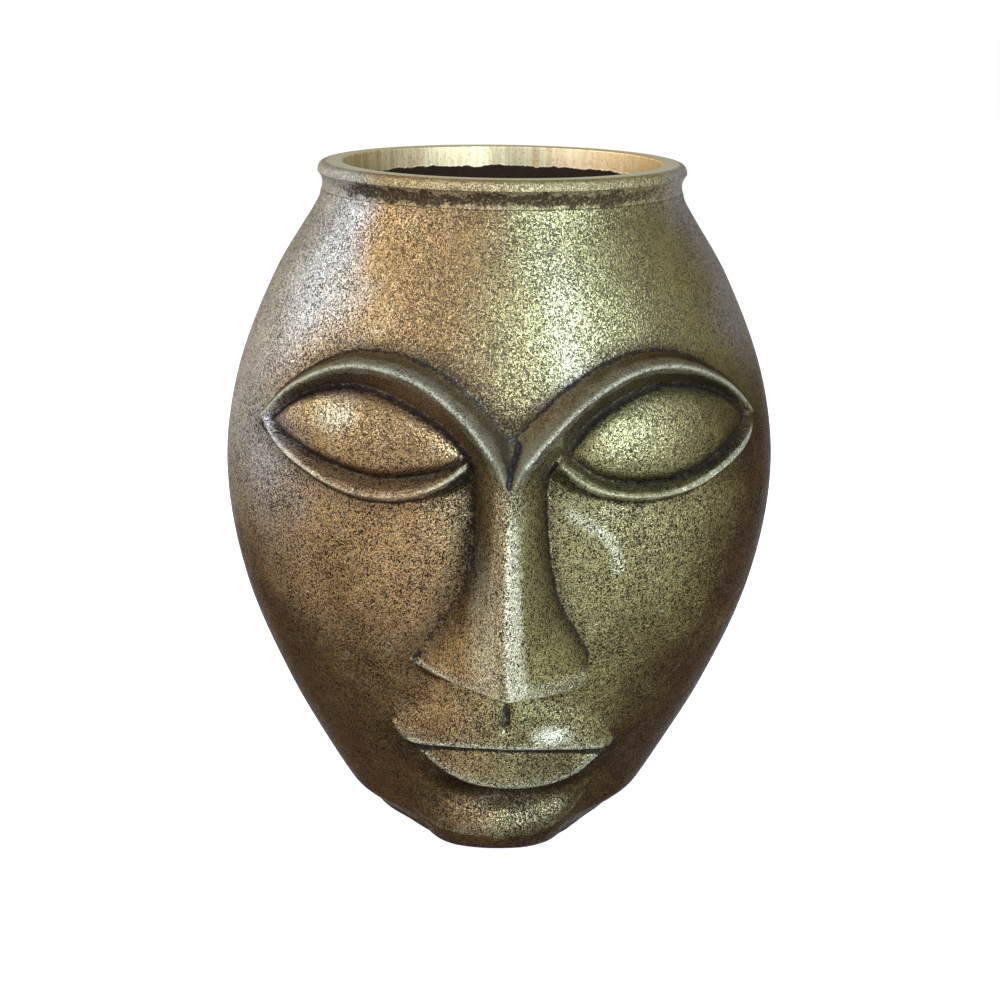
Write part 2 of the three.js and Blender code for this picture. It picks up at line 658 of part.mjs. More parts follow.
function basePlate() {
  const points = spread(0, 360, GRID_BEARING)
    .slice(1)
    .map((bearing) => {
      const around = bearing > 180 ? bearing - 360 : bearing;
      const p = wallPoint(around, DRAWN_FOOT, vesselRadius(around, DRAWN_FOOT) - WALL - PLATE_GAP);
      return new THREE.Vector2(p.x, p.y);
    });
  return new THREE.ExtrudeGeometry(new THREE.Shape(points), { depth: PLATE_THICKNESS, bevelEnabled: false });
}

function feltPad() {
  const outline = new THREE.Path();
  outline.moveTo(0, 0);
  outline.lineTo(PAD_RADIUS - PAD_EDGE, 0);
  outline.lineTo(PAD_RADIUS, PAD_EDGE);
  outline.lineTo(PAD_RADIUS, PAD_THICKNESS);
  outline.lineTo(0, PAD_THICKNESS);
  return turned(outline.getPoints(), PAD_SEGMENTS);
}

function piece(name, geometry, look, position = [0, 0, 0]) {
  const mesh = new THREE.Mesh(geometry, new THREE.MeshStandardMaterial(look));
  mesh.name = name;
  mesh.position.set(...position);
  return mesh;
}

const CAST = { color: 0xa8925c, roughness: 0.45, metalness: 0.9 };
const TURNED = { color: 0xc0b27a, roughness: 0.3, metalness: 0.95 };
const FELT = { color: 0x2b2a28, roughness: 1, metalness: 0 };

const castings = new THREE.Group();
castings.add(piece("face_shell", faceCasting(), CAST));
castings.add(piece("back_shell", backCasting(), CAST));

const base = new THREE.Group();
base.add(piece("base_plate", basePlate(), CAST, [0, 0, FOOT]));
const PAD_PLACES = {
  foot_pad_front_left: [-PAD_SIDE_OFFSET, -PAD_FRONT_OFFSET],
  foot_pad_front_right: [PAD_SIDE_OFFSET, -PAD_FRONT_OFFSET],
  foot_pad_back_left: [-PAD_SIDE_OFFSET, PAD_BACK_OFFSET],
  foot_pad_back_right: [PAD_SIDE_OFFSET, PAD_BACK_OFFSET],
};
for (const [name, [x, y]] of Object.entries(PAD_PLACES)) base.add(piece(name, feltPad(), FELT, [x, y, 0]));

const vase = new THREE.Group();
vase.add(castings);
vase.add(base);
vase.add(piece("mouth_ring", mouthRing(), TURNED, [0, 0, SHELL_TOP + FIT_GAP]));

// The nose reaches further out than the back, so the middle of the whole lies in front of the ring's axis.
const reach = new THREE.Box3().setFromObject(vase);
vase.position.y = -(reach.min.y + reach.max.y) / 2;

const group = new THREE.Group();
group.add(vase);
export default group;
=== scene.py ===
from functools import reduce
from math import cos, pi, radians, sin

import bpy
import numpy as np
from mathutils import Matrix, Vector


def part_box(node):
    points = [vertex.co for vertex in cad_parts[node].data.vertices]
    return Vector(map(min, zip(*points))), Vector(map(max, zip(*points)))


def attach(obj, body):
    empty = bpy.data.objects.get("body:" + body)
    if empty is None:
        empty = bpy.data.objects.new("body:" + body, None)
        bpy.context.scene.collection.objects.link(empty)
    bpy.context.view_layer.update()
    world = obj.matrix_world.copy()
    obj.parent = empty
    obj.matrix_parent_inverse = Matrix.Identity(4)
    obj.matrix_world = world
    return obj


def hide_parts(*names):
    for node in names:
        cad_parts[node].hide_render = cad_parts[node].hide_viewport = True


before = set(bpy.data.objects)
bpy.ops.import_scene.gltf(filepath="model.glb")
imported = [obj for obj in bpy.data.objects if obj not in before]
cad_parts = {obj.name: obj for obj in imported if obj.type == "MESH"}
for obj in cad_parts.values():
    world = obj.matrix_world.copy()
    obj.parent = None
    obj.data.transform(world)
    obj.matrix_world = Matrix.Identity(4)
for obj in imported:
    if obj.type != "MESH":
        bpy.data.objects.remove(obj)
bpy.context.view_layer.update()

MM = 0.001

# Levels and walls of the castings, in mm
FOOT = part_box("face_shell")[0][2] / MM
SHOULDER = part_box("face_shell")[1][2] / MM
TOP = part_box("mouth_ring")[1][2] / MM
AXIS_Y = (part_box("mouth_ring")[0][1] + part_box("mouth_ring")[1][1]) / 2
WALL = 4.5
SEAM_GAP = 0.3
TONGUE_REACH = 7
PLATE_THICKNESS = 4
LEDGE_WIDTH = 3
THROAT_RADIUS = 60.3
THROAT_DEPTH = 4.3
CORE_REACH = 12
SHOULDER_ROUND = 1.2
SHOULDER_CUT = 0.2
PLATE_GAP = 0.6
PLATE_ROUND = 0.5
PAD_ROUND_LOW = 0.4
PAD_ROUND_TOP = 0.3

# The castings are drawn between these two heights
DRAWN_FOOT = -1
DRAWN_TOP = 240.5

# The vessel without its face: height, reach to the side, front and back, and how square the round is
STATIONS = np.array([
    (DRAWN_FOOT, 47.3, 39.7, 47, 2.4),
    (25, 64.4, 54, 61, 2.05),
    (60, 81.4, 71, 77, 2.2),
    (100, 96, 87, 91, 2.2),
    (140, 101.5, 94.5, 96.5, 2.2),
    (175, 96.5, 91.5, 92, 2.2),
    (210, 82.5, 79.5, 80, 2.1),
    (236.5, 66.4, 66.2, 66.2, 2),
    (DRAWN_TOP, 65.3, 65.3, 65.3, 2),
])
JAW_PINCH = {"depth": 7, "bearing": 59, "half_width": 38.5, "fades_from": 0, "fades_to": 15}

# The face is drawn on the wall as bearing from the centre line in degrees, height and relief in mm
FACE_RADIUS = 90
LEFT_BROW = [
    (-57.5, 169, 1.5), (-47.5, 182.5, 4.5), (-36, 191, 6), (-26.5, 191.5, 6.5), (-18, 187.5, 7),
    (-9.6, 177.5, 8), (-4.3, 166.5, 10),
]
RIGHT_BROW = [
    (59.5, 170, 1.5), (49.6, 182, 4.5), (39, 190, 6), (30, 192, 6.5), (22, 189.5, 7), (12.8, 181.5, 8),
    (6, 171.5, 9), (2, 164, 10.5),
]
NOSE_RIDGE = [
    (-1.2, 156, 13.5), (-1.5, 145.5, 15.5), (-1.7, 135, 18), (-1.7, 115, 23), (-1.4, 94, 27.5),
    (-0.8, 86, 28.5),
]
LEFT_EYE_TOP = [
    (-54.8, 168.5, -2), (-47.5, 178, -4), (-38, 183, -5), (-29, 182, -5), (-21, 177.5, -5),
    (-13.6, 171, -4.5), (-9.2, 163.6, -4),
]
LEFT_EYE_BOTTOM = [
    (-54.8, 168.5, -2), (-51, 165, -3.5), (-44.4, 160.8, -4.5), (-35.5, 157, -5), (-27.4, 155.4, -5),
    (-20, 157, -5), (-13.2, 159.8, -4.5), (-9.2, 163.6, -4),
]
LEFT_LID = [
    (-57.5, 169, 1.5), (-50, 162.5, 3.5), (-42, 156.8, 4), (-33.5, 152.2, 4.5), (-26, 150.8, 4.5),
    (-18.2, 153, 4.5), (-12.6, 157.8, 4.5), (-10.4, 161.2, 3.8),
]
RIGHT_EYE_TOP = [
    (56.8, 169, -2), (52.8, 175, -4), (45.7, 181, -5), (36, 184, -5), (28, 182.5, -5), (20, 177.5, -5),
    (14.9, 171.5, -5), (11.6, 164.5, -4),
]
RIGHT_EYE_BOTTOM = [
    (56.8, 169, -2), (52.5, 163.5, -4), (43.6, 157, -5), (34, 153.5, -5), (25.6, 154, -5), (18, 157, -4.5),
    (11.6, 164.5, -4),
]
RIGHT_LID = [
    (59.5, 170, 1.5), (54, 163, 3.5), (43.8, 156, 4.5), (34.5, 151.4, 4.5), (24, 151, 4.5), (15, 155, 4.5),
    (9.4, 162, 3.8),
]
LEFT_NOSE_FOOT = [
    (-9, 157.5, -4.5), (-8.5, 150, -5), (-8.2, 138.5, -5), (-8.7, 128, -4.5), (-10.4, 119, -3.5),
    (-13.3, 110, -2.5), (-17, 100.5, -1.5), (-22.4, 88.5, 0),
]
RIGHT_NOSE_FOOT = [
    (8.4, 163.6, 0.5), (7.4, 157, -4.5), (7.1, 147, -5), (7.6, 136, -5), (8.7, 124.6, -4.5),
    (10.8, 112.7, -3.5), (14.2, 103, -2), (18.2, 92.5, -0.5), (18.8, 89, 0),
]
NOSE_BASE = [
    (-22.4, 88.5), (-16, 86.6), (-10, 85.8), (-3, 86), (2, 85.2), (7, 83.6), (12, 82.6), (16.5, 83.8),
    (18.8, 89),
]
UPPER_LIP_TOP = [
    (-31.5, 60.4, 2.5), (-24.5, 66.5, 0.6), (-14, 72, 0.4), (0, 75, 0.2), (14, 70.5, 0.4), (25, 62, 0.6),
    (33.8, 50.8, 2.5),
]
MOUTH = [
    (-31.5, 60.2, 2.5), (-28.1, 55.8, 6), (-24.5, 54, 7.5), (-15.2, 54.2, 8.5), (-6.5, 54, 9), (1.7, 53.4, 9),
    (13.2, 52.6, 9), (22.4, 51, 8.5), (28, 49.8, 7), (33.8, 50.6, 2.5),
]
LOWER_LIP = [
    (-27.2, 54.6, 6), (-22, 47.9, 7.5), (-17.4, 42.4, 9), (-11, 37.8, 10), (-3.5, 35.6, 10.5), (6, 35, 10.5),
    (15.6, 36.7, 10), (22, 40.3, 9), (26, 44.6, 7.5), (30.5, 49, 6),
]
CHIN = [
    (-38, 13, 0), (-30, 9.6, 3.5), (-20, 8.8, 6.5), (-8, 8.3, 8.3), (2, 8.1, 8.6), (11.4, 8.6, 8.3),
    (20.3, 11.3, 6.5), (28, 15.7, 3.5), (34, 22, 0),
]

# Slopes and depths of the carving, in mm and mm per mm
BROW_SLOPE = 1.45
LID_SLOPE = 1.6
LIP_SLOPE = 1.9
CORNER_SLOPE = 2.6
CHIN_RISE = 14
CHIN_FALL = 30
BROW_BEND = 1.1
BRIDGE_RUN = (150, 166)
LEFT_FLANK_BEND = 1.1
RIGHT_FLANK_BEND = 0.8
UPPER_LIP_BEND = 0.8
LOWER_LIP_BEND = 0.85
NOSE_UNDERSIDE = 5
MOUTH_STEP = 1.3
MOUTH_DEPTH = 3.2
EYE_SWELL = 7.6
EYE_HALF_HEIGHT = 14
CHEEK_HOLLOW = 17
PHILTRUM = {"depth": 1.8, "half_width": 3.6, "low": 64, "high": 74.5, "run": 5}
BROW_GROOVE = [(0.9, 169.5), (0.3, 166.5), (-0.6, 163), (-1.1, 158)]
BROW_GROOVE_DEPTH = 1.4
BROW_GROOVE_HALF_WIDTH = 1.5
FILED_STANDS = 0.3
# Line of a painted highlight on the right cheek
CHEEK_HIGHLIGHT_ARC = [(12, 144.5), (16, 140.5), (19.5, 136), (21.5, 130.5), (22, 124)]
LIP_HOLLOW = {"depth": 5, "y": 25.5, "half_height": 10, "half_width": 60}
FACE_TOP = 215
FACE_EDGE = 75
LOW_CHEEK = 118
MOUTH_DUST = [(-1, 50.6), (5, 50.2)]
PHILTRUM_DUST = [(-1.6, 65), (-1.6, 75)]

# How far the lids, brows and lips reach from their lines
LID_REACH = 5
BROW_REACH = 8
LIP_REACH = 9

# Softness of the casting, as blurs in mm
EDGE_ROUNDING = 0.42
FILED_FADE = 0.5
EDGE_SCALES = (0.4, 1.1)
HOLLOW_SCALES = (1.2, 4.5)

# Fineness of the plan and the meshes, in mm and degrees
PLAN_STEP = 0.5
FINE_STEP = 0.72
PLAIN_STEP = 3.5
ROW_STEP = 2
ROUND_STEP = 0.4
BACK_STEP = 1.2
LINING_STEP = 4
CARVED_X = 101
CARVED_TOP = 206


def smooth(value, low, high):
    t = np.clip((value - low) / (high - low), 0, 1)
    return t * t * (3 - 2 * t)


def bell(value, half_width):
    return 1 - smooth(np.abs(value), 0, half_width)


def band(value, start, full, fading, end):
    """One from full to fading, and none before start and past end."""
    return smooth(value, start, full) * (1 - smooth(value, fading, end))


def mixed(a, b, t):
    return a + (b - a) * t


# The vessel

def level(y):
    """Real height of a drawn one."""
    return FOOT + (y - DRAWN_FOOT) / (DRAWN_TOP - DRAWN_FOOT) * (SHOULDER - FOOT)


def drawn(z):
    """Drawn height of a real one."""
    return DRAWN_FOOT + (z - FOOT) / (SHOULDER - FOOT) * (DRAWN_TOP - DRAWN_FOOT)


def station(column, y):
    """Smooth curve of one measure through the stations."""
    heights, values = STATIONS[:, 0], STATIONS[:, column]
    count = len(heights)
    before = np.maximum(np.arange(count) - 1, 0)
    after = np.minimum(np.arange(count) + 1, count - 1)
    slopes = (values[after] - values[before]) / (heights[after] - heights[before])
    i = np.clip(np.searchsorted(heights, y, side="right") - 1, 0, count - 2)
    span = heights[i + 1] - heights[i]
    t = (y - heights[i]) / span
    rise = t * t * (3 - 2 * t)
    leave = t * (1 - t) ** 2
    arrive = t * t * (t - 1)
    return mixed(values[i], values[i + 1], rise) + span * (leave * slopes[i] + arrive * slopes[i + 1])


def vessel_radius(bearing, y):
    """Distance of the plain wall from the axis, at a bearing in degrees with 0 at the face."""
    angle = np.radians(bearing)
    square = station(4, y)
    across = np.abs(np.sin(angle)) / station(1, y)
    reach = np.where(np.cos(angle) > 0, station(2, y), station(3, y))
    along = np.abs(np.cos(angle)) / reach
    around = (np.asarray(bearing) + 180) % 360 - 180
    pinch = bell(np.abs(around) - JAW_PINCH["bearing"], JAW_PINCH["half_width"])
    fade = 1 - smooth(y, JAW_PINCH["fades_from"], JAW_PINCH["fades_to"])
    return (across ** square + along ** square) ** (-1 / square) - JAW_PINCH["depth"] * pinch * fade


def shoulder_edge(y):
    """How far the upper edge of the castings is rounded back, under the ring."""
    rise = np.clip((y - DRAWN_TOP + SHOULDER_ROUND) / SHOULDER_ROUND, 0, 1)
    return SHOULDER_CUT * SHOULDER_ROUND * (1 - np.sqrt(1 - rise * rise))


def wall_points(bearing, y, radius):
    """Points in metres on the wall, from bearings in degrees, drawn heights and distances from the axis."""
    angle = np.radians(bearing)
    x = radius * np.sin(angle) * MM
    return np.stack([x, AXIS_Y - radius * np.cos(angle) * MM, level(y) * MM + 0 * x], axis=-1)


# Lines on the flattened wall: x along the wall, y the drawn height and z the relief

def along_wall(bearing):
    """Place along the wall at a bearing in degrees."""
    return np.radians(bearing) * FACE_RADIUS


def line(points, step=1.5):
    """Points at even steps on a centripetal spline through a drawn line."""
    knots = np.array([(along_wall(p[0]), p[1], p[2] if len(p) > 2 else 0) for p in points])
    knots = np.vstack([2 * knots[0] - knots[1], knots, 2 * knots[-1] - knots[-2]])
    samples = [knots[1]]
    for i in range(1, len(knots) - 2):
        a, b, c, d = knots[i - 1:i + 3]
        ab, bc, cd = (max(np.linalg.norm(q - p) ** 0.5, 1e-4) for p, q in ((a, b), (b, c), (c, d)))
        leave = ((b - a) / ab - (c - a) / (ab + bc) + (c - b) / bc) * bc
        arrive = ((c - b) / bc - (d - b) / (bc + cd) + (d - c) / cd) * bc
        t = np.linspace(0, 1, 25)[1:, None]
        samples.extend(
            (2 * t ** 3 - 3 * t ** 2 + 1) * b + (t ** 3 - 2 * t ** 2 + t) * leave
            + (3 * t ** 2 - 2 * t ** 3) * c + (t ** 3 - t ** 2) * arrive
        )
    samples = np.array(samples)
    run = np.concatenate([[0], np.cumsum(np.linalg.norm(np.diff(samples, axis=0), axis=1))])
    even = np.linspace(0, run[-1], int(np.ceil(run[-1] / step)) + 1)
    return np.stack([np.interp(even, run, samples[:, k]) for k in range(3)], axis=1)


def nearest(path, x, y):
    """Distance from places on the wall to a line, and the relief of the line there."""
    best = np.full(x.shape, np.inf)
    relief = np.zeros(x.shape)
    for a, b in zip(path[:-1], path[1:]):
        dx, dy = b[0] - a[0], b[1] - a[1]
        t = np.clip(((x - a[0]) * dx + (y - a[1]) * dy) / max(dx * dx + dy * dy, 1e-9), 0, 1)
        distance = (x - a[0] - t * dx) ** 2 + (y - a[1] - t * dy) ** 2
        closer = distance < best
        best = np.where(closer, distance, best)
        relief = np.where(closer, a[2] + (b[2] - a[2]) * t, relief)
    return np.sqrt(best), relief


def between(start, end, bend, x, y):
    """Relief of a surface spanned between two lines."""
    from_start, low = nearest(start, x, y)
    from_end, high = nearest(end, x, y)
    share = from_start / np.maximum(from_start + from_end, 1e-6)
    return mixed(low, high, share ** bend)


def height_of(path, x):
    """Height of a line that runs across the face, at places along the wall."""
    order = np.argsort(path[:, 0], kind="stable")
    return np.interp(x, path[order, 0], path[order, 1])


def inside(area, x, y):
    """Whether places lie inside a closed line."""
    odd = np.zeros(x.shape, bool)
    for a, b in zip(np.roll(area, 1, axis=0), area):
        if a[1] == b[1]:
            continue
        crossing = (b[0] - a[0]) * (y - a[1]) / (b[1] - a[1]) + a[0]
        odd ^= ((a[1] > y) != (b[1] > y)) & (x < crossing)
    return odd


nose_base = line(NOSE_BASE)
ridge = line(NOSE_RIDGE)
tip_x = ridge[-1, 0]
bridge_y = ridge[0, 1]


def face_half(brow, eye_top, eye_bottom, lid, nose_foot, nostril, flank_bend):
    """The lines and areas of one half: crest over the eye and down the nose, foot under brow and nose."""
    over = line(brow + NOSE_RIDGE[:1])[:-1]
    crest = np.vstack([over, ridge])
    foot = line(eye_top + nose_foot)
    top, bottom, rim = line(eye_top), line(eye_bottom), line(lid)
    return {
        "crest": crest,
        "foot": foot,
        "rim": rim,
        "top": top,
        "bottom": bottom,
        "cheek": line(nose_foot),
        "flank": np.vstack([crest, nostril, foot[::-1]]),
        "eye": np.vstack([top, bottom[::-1]]),
        "pouch": np.vstack([rim, bottom[::-1]]),
        "flank_bend": flank_bend,
    }


left_nostril = nose_base[nose_base[:, 0] < tip_x][::-1]
right_nostril = nose_base[nose_base[:, 0] > tip_x]
left_half = face_half(
    LEFT_BROW, LEFT_EYE_TOP, LEFT_EYE_BOTTOM, LEFT_LID, LEFT_NOSE_FOOT, left_nostril, LEFT_FLANK_BEND)
right_half = face_half(
    RIGHT_BROW, RIGHT_EYE_TOP, RIGHT_EYE_BOTTOM, RIGHT_LID, RIGHT_NOSE_FOOT, right_nostril, RIGHT_FLANK_BEND)
halves = (left_half, right_half)


def flank_relief(side, x, y):
    """The slope from the foot of brow and nose up to their crest."""
    bend = mixed(side["flank_bend"], BROW_BEND, smooth(y, *BRIDGE_RUN))
    return between(side["foot"], side["crest"], bend, x, y)


lip_top = line(UPPER_LIP_TOP)
mouth = line(MOUTH)
lower_lip = line(LOWER_LIP)
chin = line(CHIN)
brow_groove = line(BROW_GROOVE)
behind_lip = (mouth[:, 0] > lower_lip[0, 0]) & (mouth[:, 0] < lower_lip[-1, 0])
mouth_back = mouth[behind_lip] * (1, 1, 0) + (0, -MOUTH_STEP, MOUTH_DEPTH)


def philtrum_depth(x, y):
    low, high, run = PHILTRUM["low"], PHILTRUM["high"], PHILTRUM["run"]
    return PHILTRUM["depth"] * bell(x, PHILTRUM["half_width"]) * band(y, low - run, low, high - run, high)


def near(path, reach, x, y):
    """Whether places lie in the upright box round a line, widened by a reach."""
    low, high = path[:, :2].min(axis=0) - reach, path[:, :2].max(axis=0) + reach
    return (x > low[0]) & (x < high[0]) & (y > low[1]) & (y < high[1])


def ground(x, y):
    """The soft form that the carving stands on."""
    hollow = bell(y - LIP_HOLLOW["y"], LIP_HOLLOW["half_height"]) * bell(x, LIP_HOLLOW["half_width"])
    relief = -LIP_HOLLOW["depth"] * hollow - philtrum_depth(x, y)
    for side in halves:
        beside = near(side["cheek"], CHEEK_HOLLOW, x, y)
        distance, depth = nearest(side["cheek"], x[beside], y[beside])
        relief[beside] += depth * np.maximum(1 - distance / CHEEK_HOLLOW, 0)
    low = near(chin, CHIN_FALL, x, y)
    rise = y[low] - height_of(chin, x[low])
    reach = np.where(rise > 0, CHIN_RISE, CHIN_FALL)
    relief[low] += nearest(chin, x[low], y[low])[1] * (1 - smooth(np.abs(rise) / reach, 0, 1))
    return relief


def eye_relief(side, x, y):
    """The closed eye, swelling between its upper and its lower line."""
    high, low = height_of(side["top"], x), height_of(side["bottom"], x)
    half_height = np.maximum((high - low) / 2, 0.01)
    across = np.clip((y - (high + low) / 2) / half_height, -1, 1)
    swell = EYE_SWELL * np.minimum(half_height / EYE_HALF_HEIGHT, 1) ** 0.7
    return nearest(side["bottom"], x, y)[1] + swell * np.sqrt(1 - across ** 2)


def under_nose(x, y, relief):
    """Lets the nose fall off under its base, in the relief that is there."""
    edge = height_of(nose_base, x)
    below = (x > nose_base[0, 0]) & (x < nose_base[-1, 0]) & (y <= edge) & (y > edge - NOSE_UNDERSIDE)
    for side, chosen in ((left_half, below & (x < tip_x)), (right_half, below & (x >= tip_x))):
        brink = flank_relief(side, x[chosen], edge[chosen])
        share = (edge[chosen] - y[chosen]) / NOSE_UNDERSIDE
        relief[chosen] = np.maximum(relief[chosen], mixed(brink, relief[chosen], share))


def mouth_relief(x, y, relief):
    """The lips over the relief that is there, for places near the mouth."""
    edge = height_of(mouth, x)
    from_edge, edge_relief = nearest(mouth, x, y)
    from_lip, lip_relief = nearest(lower_lip, x, y)
    corner = edge_relief - CORNER_SLOPE * from_edge
    below = np.maximum(np.maximum(relief, lip_relief - LIP_SLOPE * from_lip), corner)
    over = (y > edge) & (x > mouth[0, 0]) & (x < mouth[-1, 0])
    result = np.where(over, relief, below)
    step = (x > mouth_back[0, 0]) & (x < mouth_back[-1, 0]) & (y <= edge) & (y > edge - MOUTH_STEP)
    result = np.where(step, mixed(edge_relief, MOUTH_DEPTH, np.clip((edge - y) / MOUTH_STEP, 0, 1)), result)
    lower = inside(np.vstack([mouth_back, lower_lip[::-1]]), x, y)
    result[lower] = between(mouth_back, lower_lip, LOWER_LIP_BEND, x[lower], y[lower])
    upper = inside(np.vstack([lip_top, mouth[::-1]]), x, y)
    lip = between(lip_top, mouth, UPPER_LIP_BEND, x[upper], y[upper]) - philtrum_depth(x[upper], y[upper])
    result[upper] = np.maximum(relief[upper], lip)
    return result


def carved_relief(x, y):
    """Height of the carving over the plain vessel, for places on the face, and where the brows are filed."""
    relief = ground(x, y)
    filed = np.zeros(x.shape)
    for side in halves:
        beside = near(side["rim"], LID_REACH, x, y)
        distance, rim = nearest(side["rim"], x[beside], y[beside])
        relief[beside] = np.maximum(relief[beside], rim - LID_SLOPE * distance)
        above = near(side["crest"], BROW_REACH, x, y) & (y > bridge_y)
        distance, crest = nearest(side["crest"], x[above], y[above])
        slope = crest - BROW_SLOPE * distance
        filed[above] = np.maximum(filed[above], slope > relief[above] + FILED_STANDS)
        relief[above] = np.maximum(relief[above], slope)
    under_nose(x, y, relief)
    lips = near(np.vstack([lip_top, mouth, lower_lip]), LIP_REACH, x, y)
    relief[lips] = mouth_relief(x[lips], y[lips], relief[lips])
    for side in reversed(halves):
        for area, rule in (
            ("pouch", lambda px, py: between(side["bottom"], side["rim"], 1, px, py)),
            ("eye", lambda px, py: eye_relief(side, px, py)),
            ("flank", lambda px, py: flank_relief(side, px, py)),
        ):
            chosen = np.flatnonzero(near(side[area], 0, x, y))
            chosen = chosen[inside(side[area], x[chosen], y[chosen])]
            relief[chosen] = rule(x[chosen], y[chosen])
            filed[chosen] = 0
    beside = near(brow_groove, BROW_GROOVE_HALF_WIDTH, x, y)
    distance = nearest(brow_groove, x[beside], y[beside])[0]
    relief[beside] -= BROW_GROOVE_DEPTH * (1 - smooth(distance, 0, BROW_GROOVE_HALF_WIDTH))
    return relief, filed


# The flattened plan of the face: its relief, softened as a sand casting is, and what lies low or high in it

def blurred(plan, sigma):
    """Gaussian blur of a plan, with sigma in mm."""
    reach = int(np.ceil(3 * sigma / PLAN_STEP))
    weights = np.exp(-0.5 * (np.arange(-reach, reach + 1) * PLAN_STEP / sigma) ** 2)
    weights /= weights.sum()
    for axis in (0, 1):
        padded = np.pad(plan, [(reach, reach) if k == axis else (0, 0) for k in (0, 1)], mode="edge")
        size = plan.shape[axis]
        plan = sum(w * np.take(padded, range(i, i + size), axis=axis) for i, w in enumerate(weights))
    return plan


def relief_between(fine, wide):
    """What stands out at a fine scale from the form at a wider one."""
    return blurred(raw_plan, fine) - blurred(raw_plan, wide)


EDGE_X = along_wall(90)
plan_x = np.linspace(-EDGE_X, EDGE_X, int(2 * EDGE_X / PLAN_STEP) + 1)
plan_y = np.linspace(DRAWN_FOOT, DRAWN_TOP, int((DRAWN_TOP - DRAWN_FOOT) / PLAN_STEP) + 1)
places_x, places_y = np.meshgrid(plan_x, plan_y, indexing="ij")
on_face = (places_y <= FACE_TOP) & (np.abs(places_x) <= along_wall(FACE_EDGE))
raw_plan, filed_plan = np.zeros(places_x.shape), np.zeros(places_x.shape)
raw_plan[on_face], filed_plan[on_face] = carved_relief(places_x[on_face], places_y[on_face])
relief_plan = blurred(raw_plan, EDGE_ROUNDING)
filed_plan = blurred(filed_plan, FILED_FADE)
edge_plan = relief_between(*EDGE_SCALES)
hollow_plan = relief_between(*HOLLOW_SCALES)
foot_of_brow = 4 * filed_plan * (1 - filed_plan) * smooth(-edge_plan, 0.02, 0.1)
from_ridge = places_x - np.interp(places_y, ridge[::-1, 1], ridge[::-1, 0])


def under(path, drop):
    """A line moved down by a drop."""
    return path - (0, drop, 0)


def drawn_lines(lines):
    """Plan of soft lines, given as a line, its full and its fading half width in mm, and its strength."""
    plan = np.zeros(places_x.shape)
    for path, full, fading, strength in lines:
        beside = near(path, fading, places_x, places_y)
        distance = nearest(path, places_x[beside], places_y[beside])[0]
        plan[beside] = np.maximum(plan[beside], strength * (1 - smooth(distance, full, fading)))
    return plan


def patch(x, y, half_width, half_height):
    return bell(places_x - x, half_width) * bell(places_y - y, half_height)


def soot_and_shade_marks():
    """Black deposits that stay when the casting is worn, and painted shade, round the eyes, beside the nose,
    under the mouth and lids, and in the grooves.
    """
    lines = [(under(mouth, 2.2), 0.9, 2.1, 1.0), (brow_groove, 0.4, 1.5, 1.0)]
    for side, beside_nose in ((left_half, (0.3, 2.6, 0.6)), (right_half, (0.2, 1.1, 0.95))):
        lines += [
            (side["top"], 0.5, 1.4, 0.95),
            (side["bottom"], 0.3, 1.1, 0.9),
            (side["cheek"], *beside_nose),
            (under(side["rim"], 2.7), 0.3, 1.4, 0.7),
        ]
    in_philtrum = smooth(philtrum_depth(places_x, places_y), 0.2, 1.4)
    return np.maximum.reduce([drawn_lines(lines), 0.72 * in_philtrum, 0.95 * foot_of_brow])


def dust_marks():
    """Where grey dust lies on the dark deposits: the deepest grooves, and the left brow's foot near the
    bridge.
    """
    low_cheek = right_half["cheek"][right_half["cheek"][:, 1] < LOW_CHEEK]
    lines = drawn_lines([
        (brow_groove, 0.1, 1.0, 0.6),
        (low_cheek, 0.6, 1.8, 0.55),
        (line(MOUTH_DUST), 0.8, 2.6, 0.8),
        (line(PHILTRUM_DUST), 1.4, 3.0, 1.0),
    ])
    near_bridge = band(places_x, along_wall(-19), along_wall(-9), 0, along_wall(3))
    return np.maximum(lines, 0.9 * foot_of_brow * near_bridge)


def painted_shade_marks():
    """Painted shade in brown: soft dark round the lower lip, over the brows, under the lids and beside the
    nose.
    """
    beyond = np.maximum(0, np.abs(places_x - lower_lip[:, 0].mean()) - np.ptp(lower_lip[:, 0]) / 2)
    lip_fall = height_of(lower_lip, places_x) - places_y
    fade = 0.4 + 1.5 * beyond
    below_lip = drawn_lines([(lower_lip, 12, 22, 1.0)]) * smooth(lip_fall, -fade, fade)
    over_brows = np.clip(3 * blurred(filed_plan, 5) * (1 - filed_plan), 0, 1)
    lines = drawn_lines([
        (left_half["cheek"], 1.5, 13, 0.5),
        (right_half["cheek"], 1.0, 7, 0.3),
        (under(left_half["rim"], 4), 1.0, 8, 0.38),
        (under(right_half["rim"], 4), 1.0, 8, 0.3),
    ])
    return np.maximum.reduce([below_lip, 0.72 * over_brows, lines])


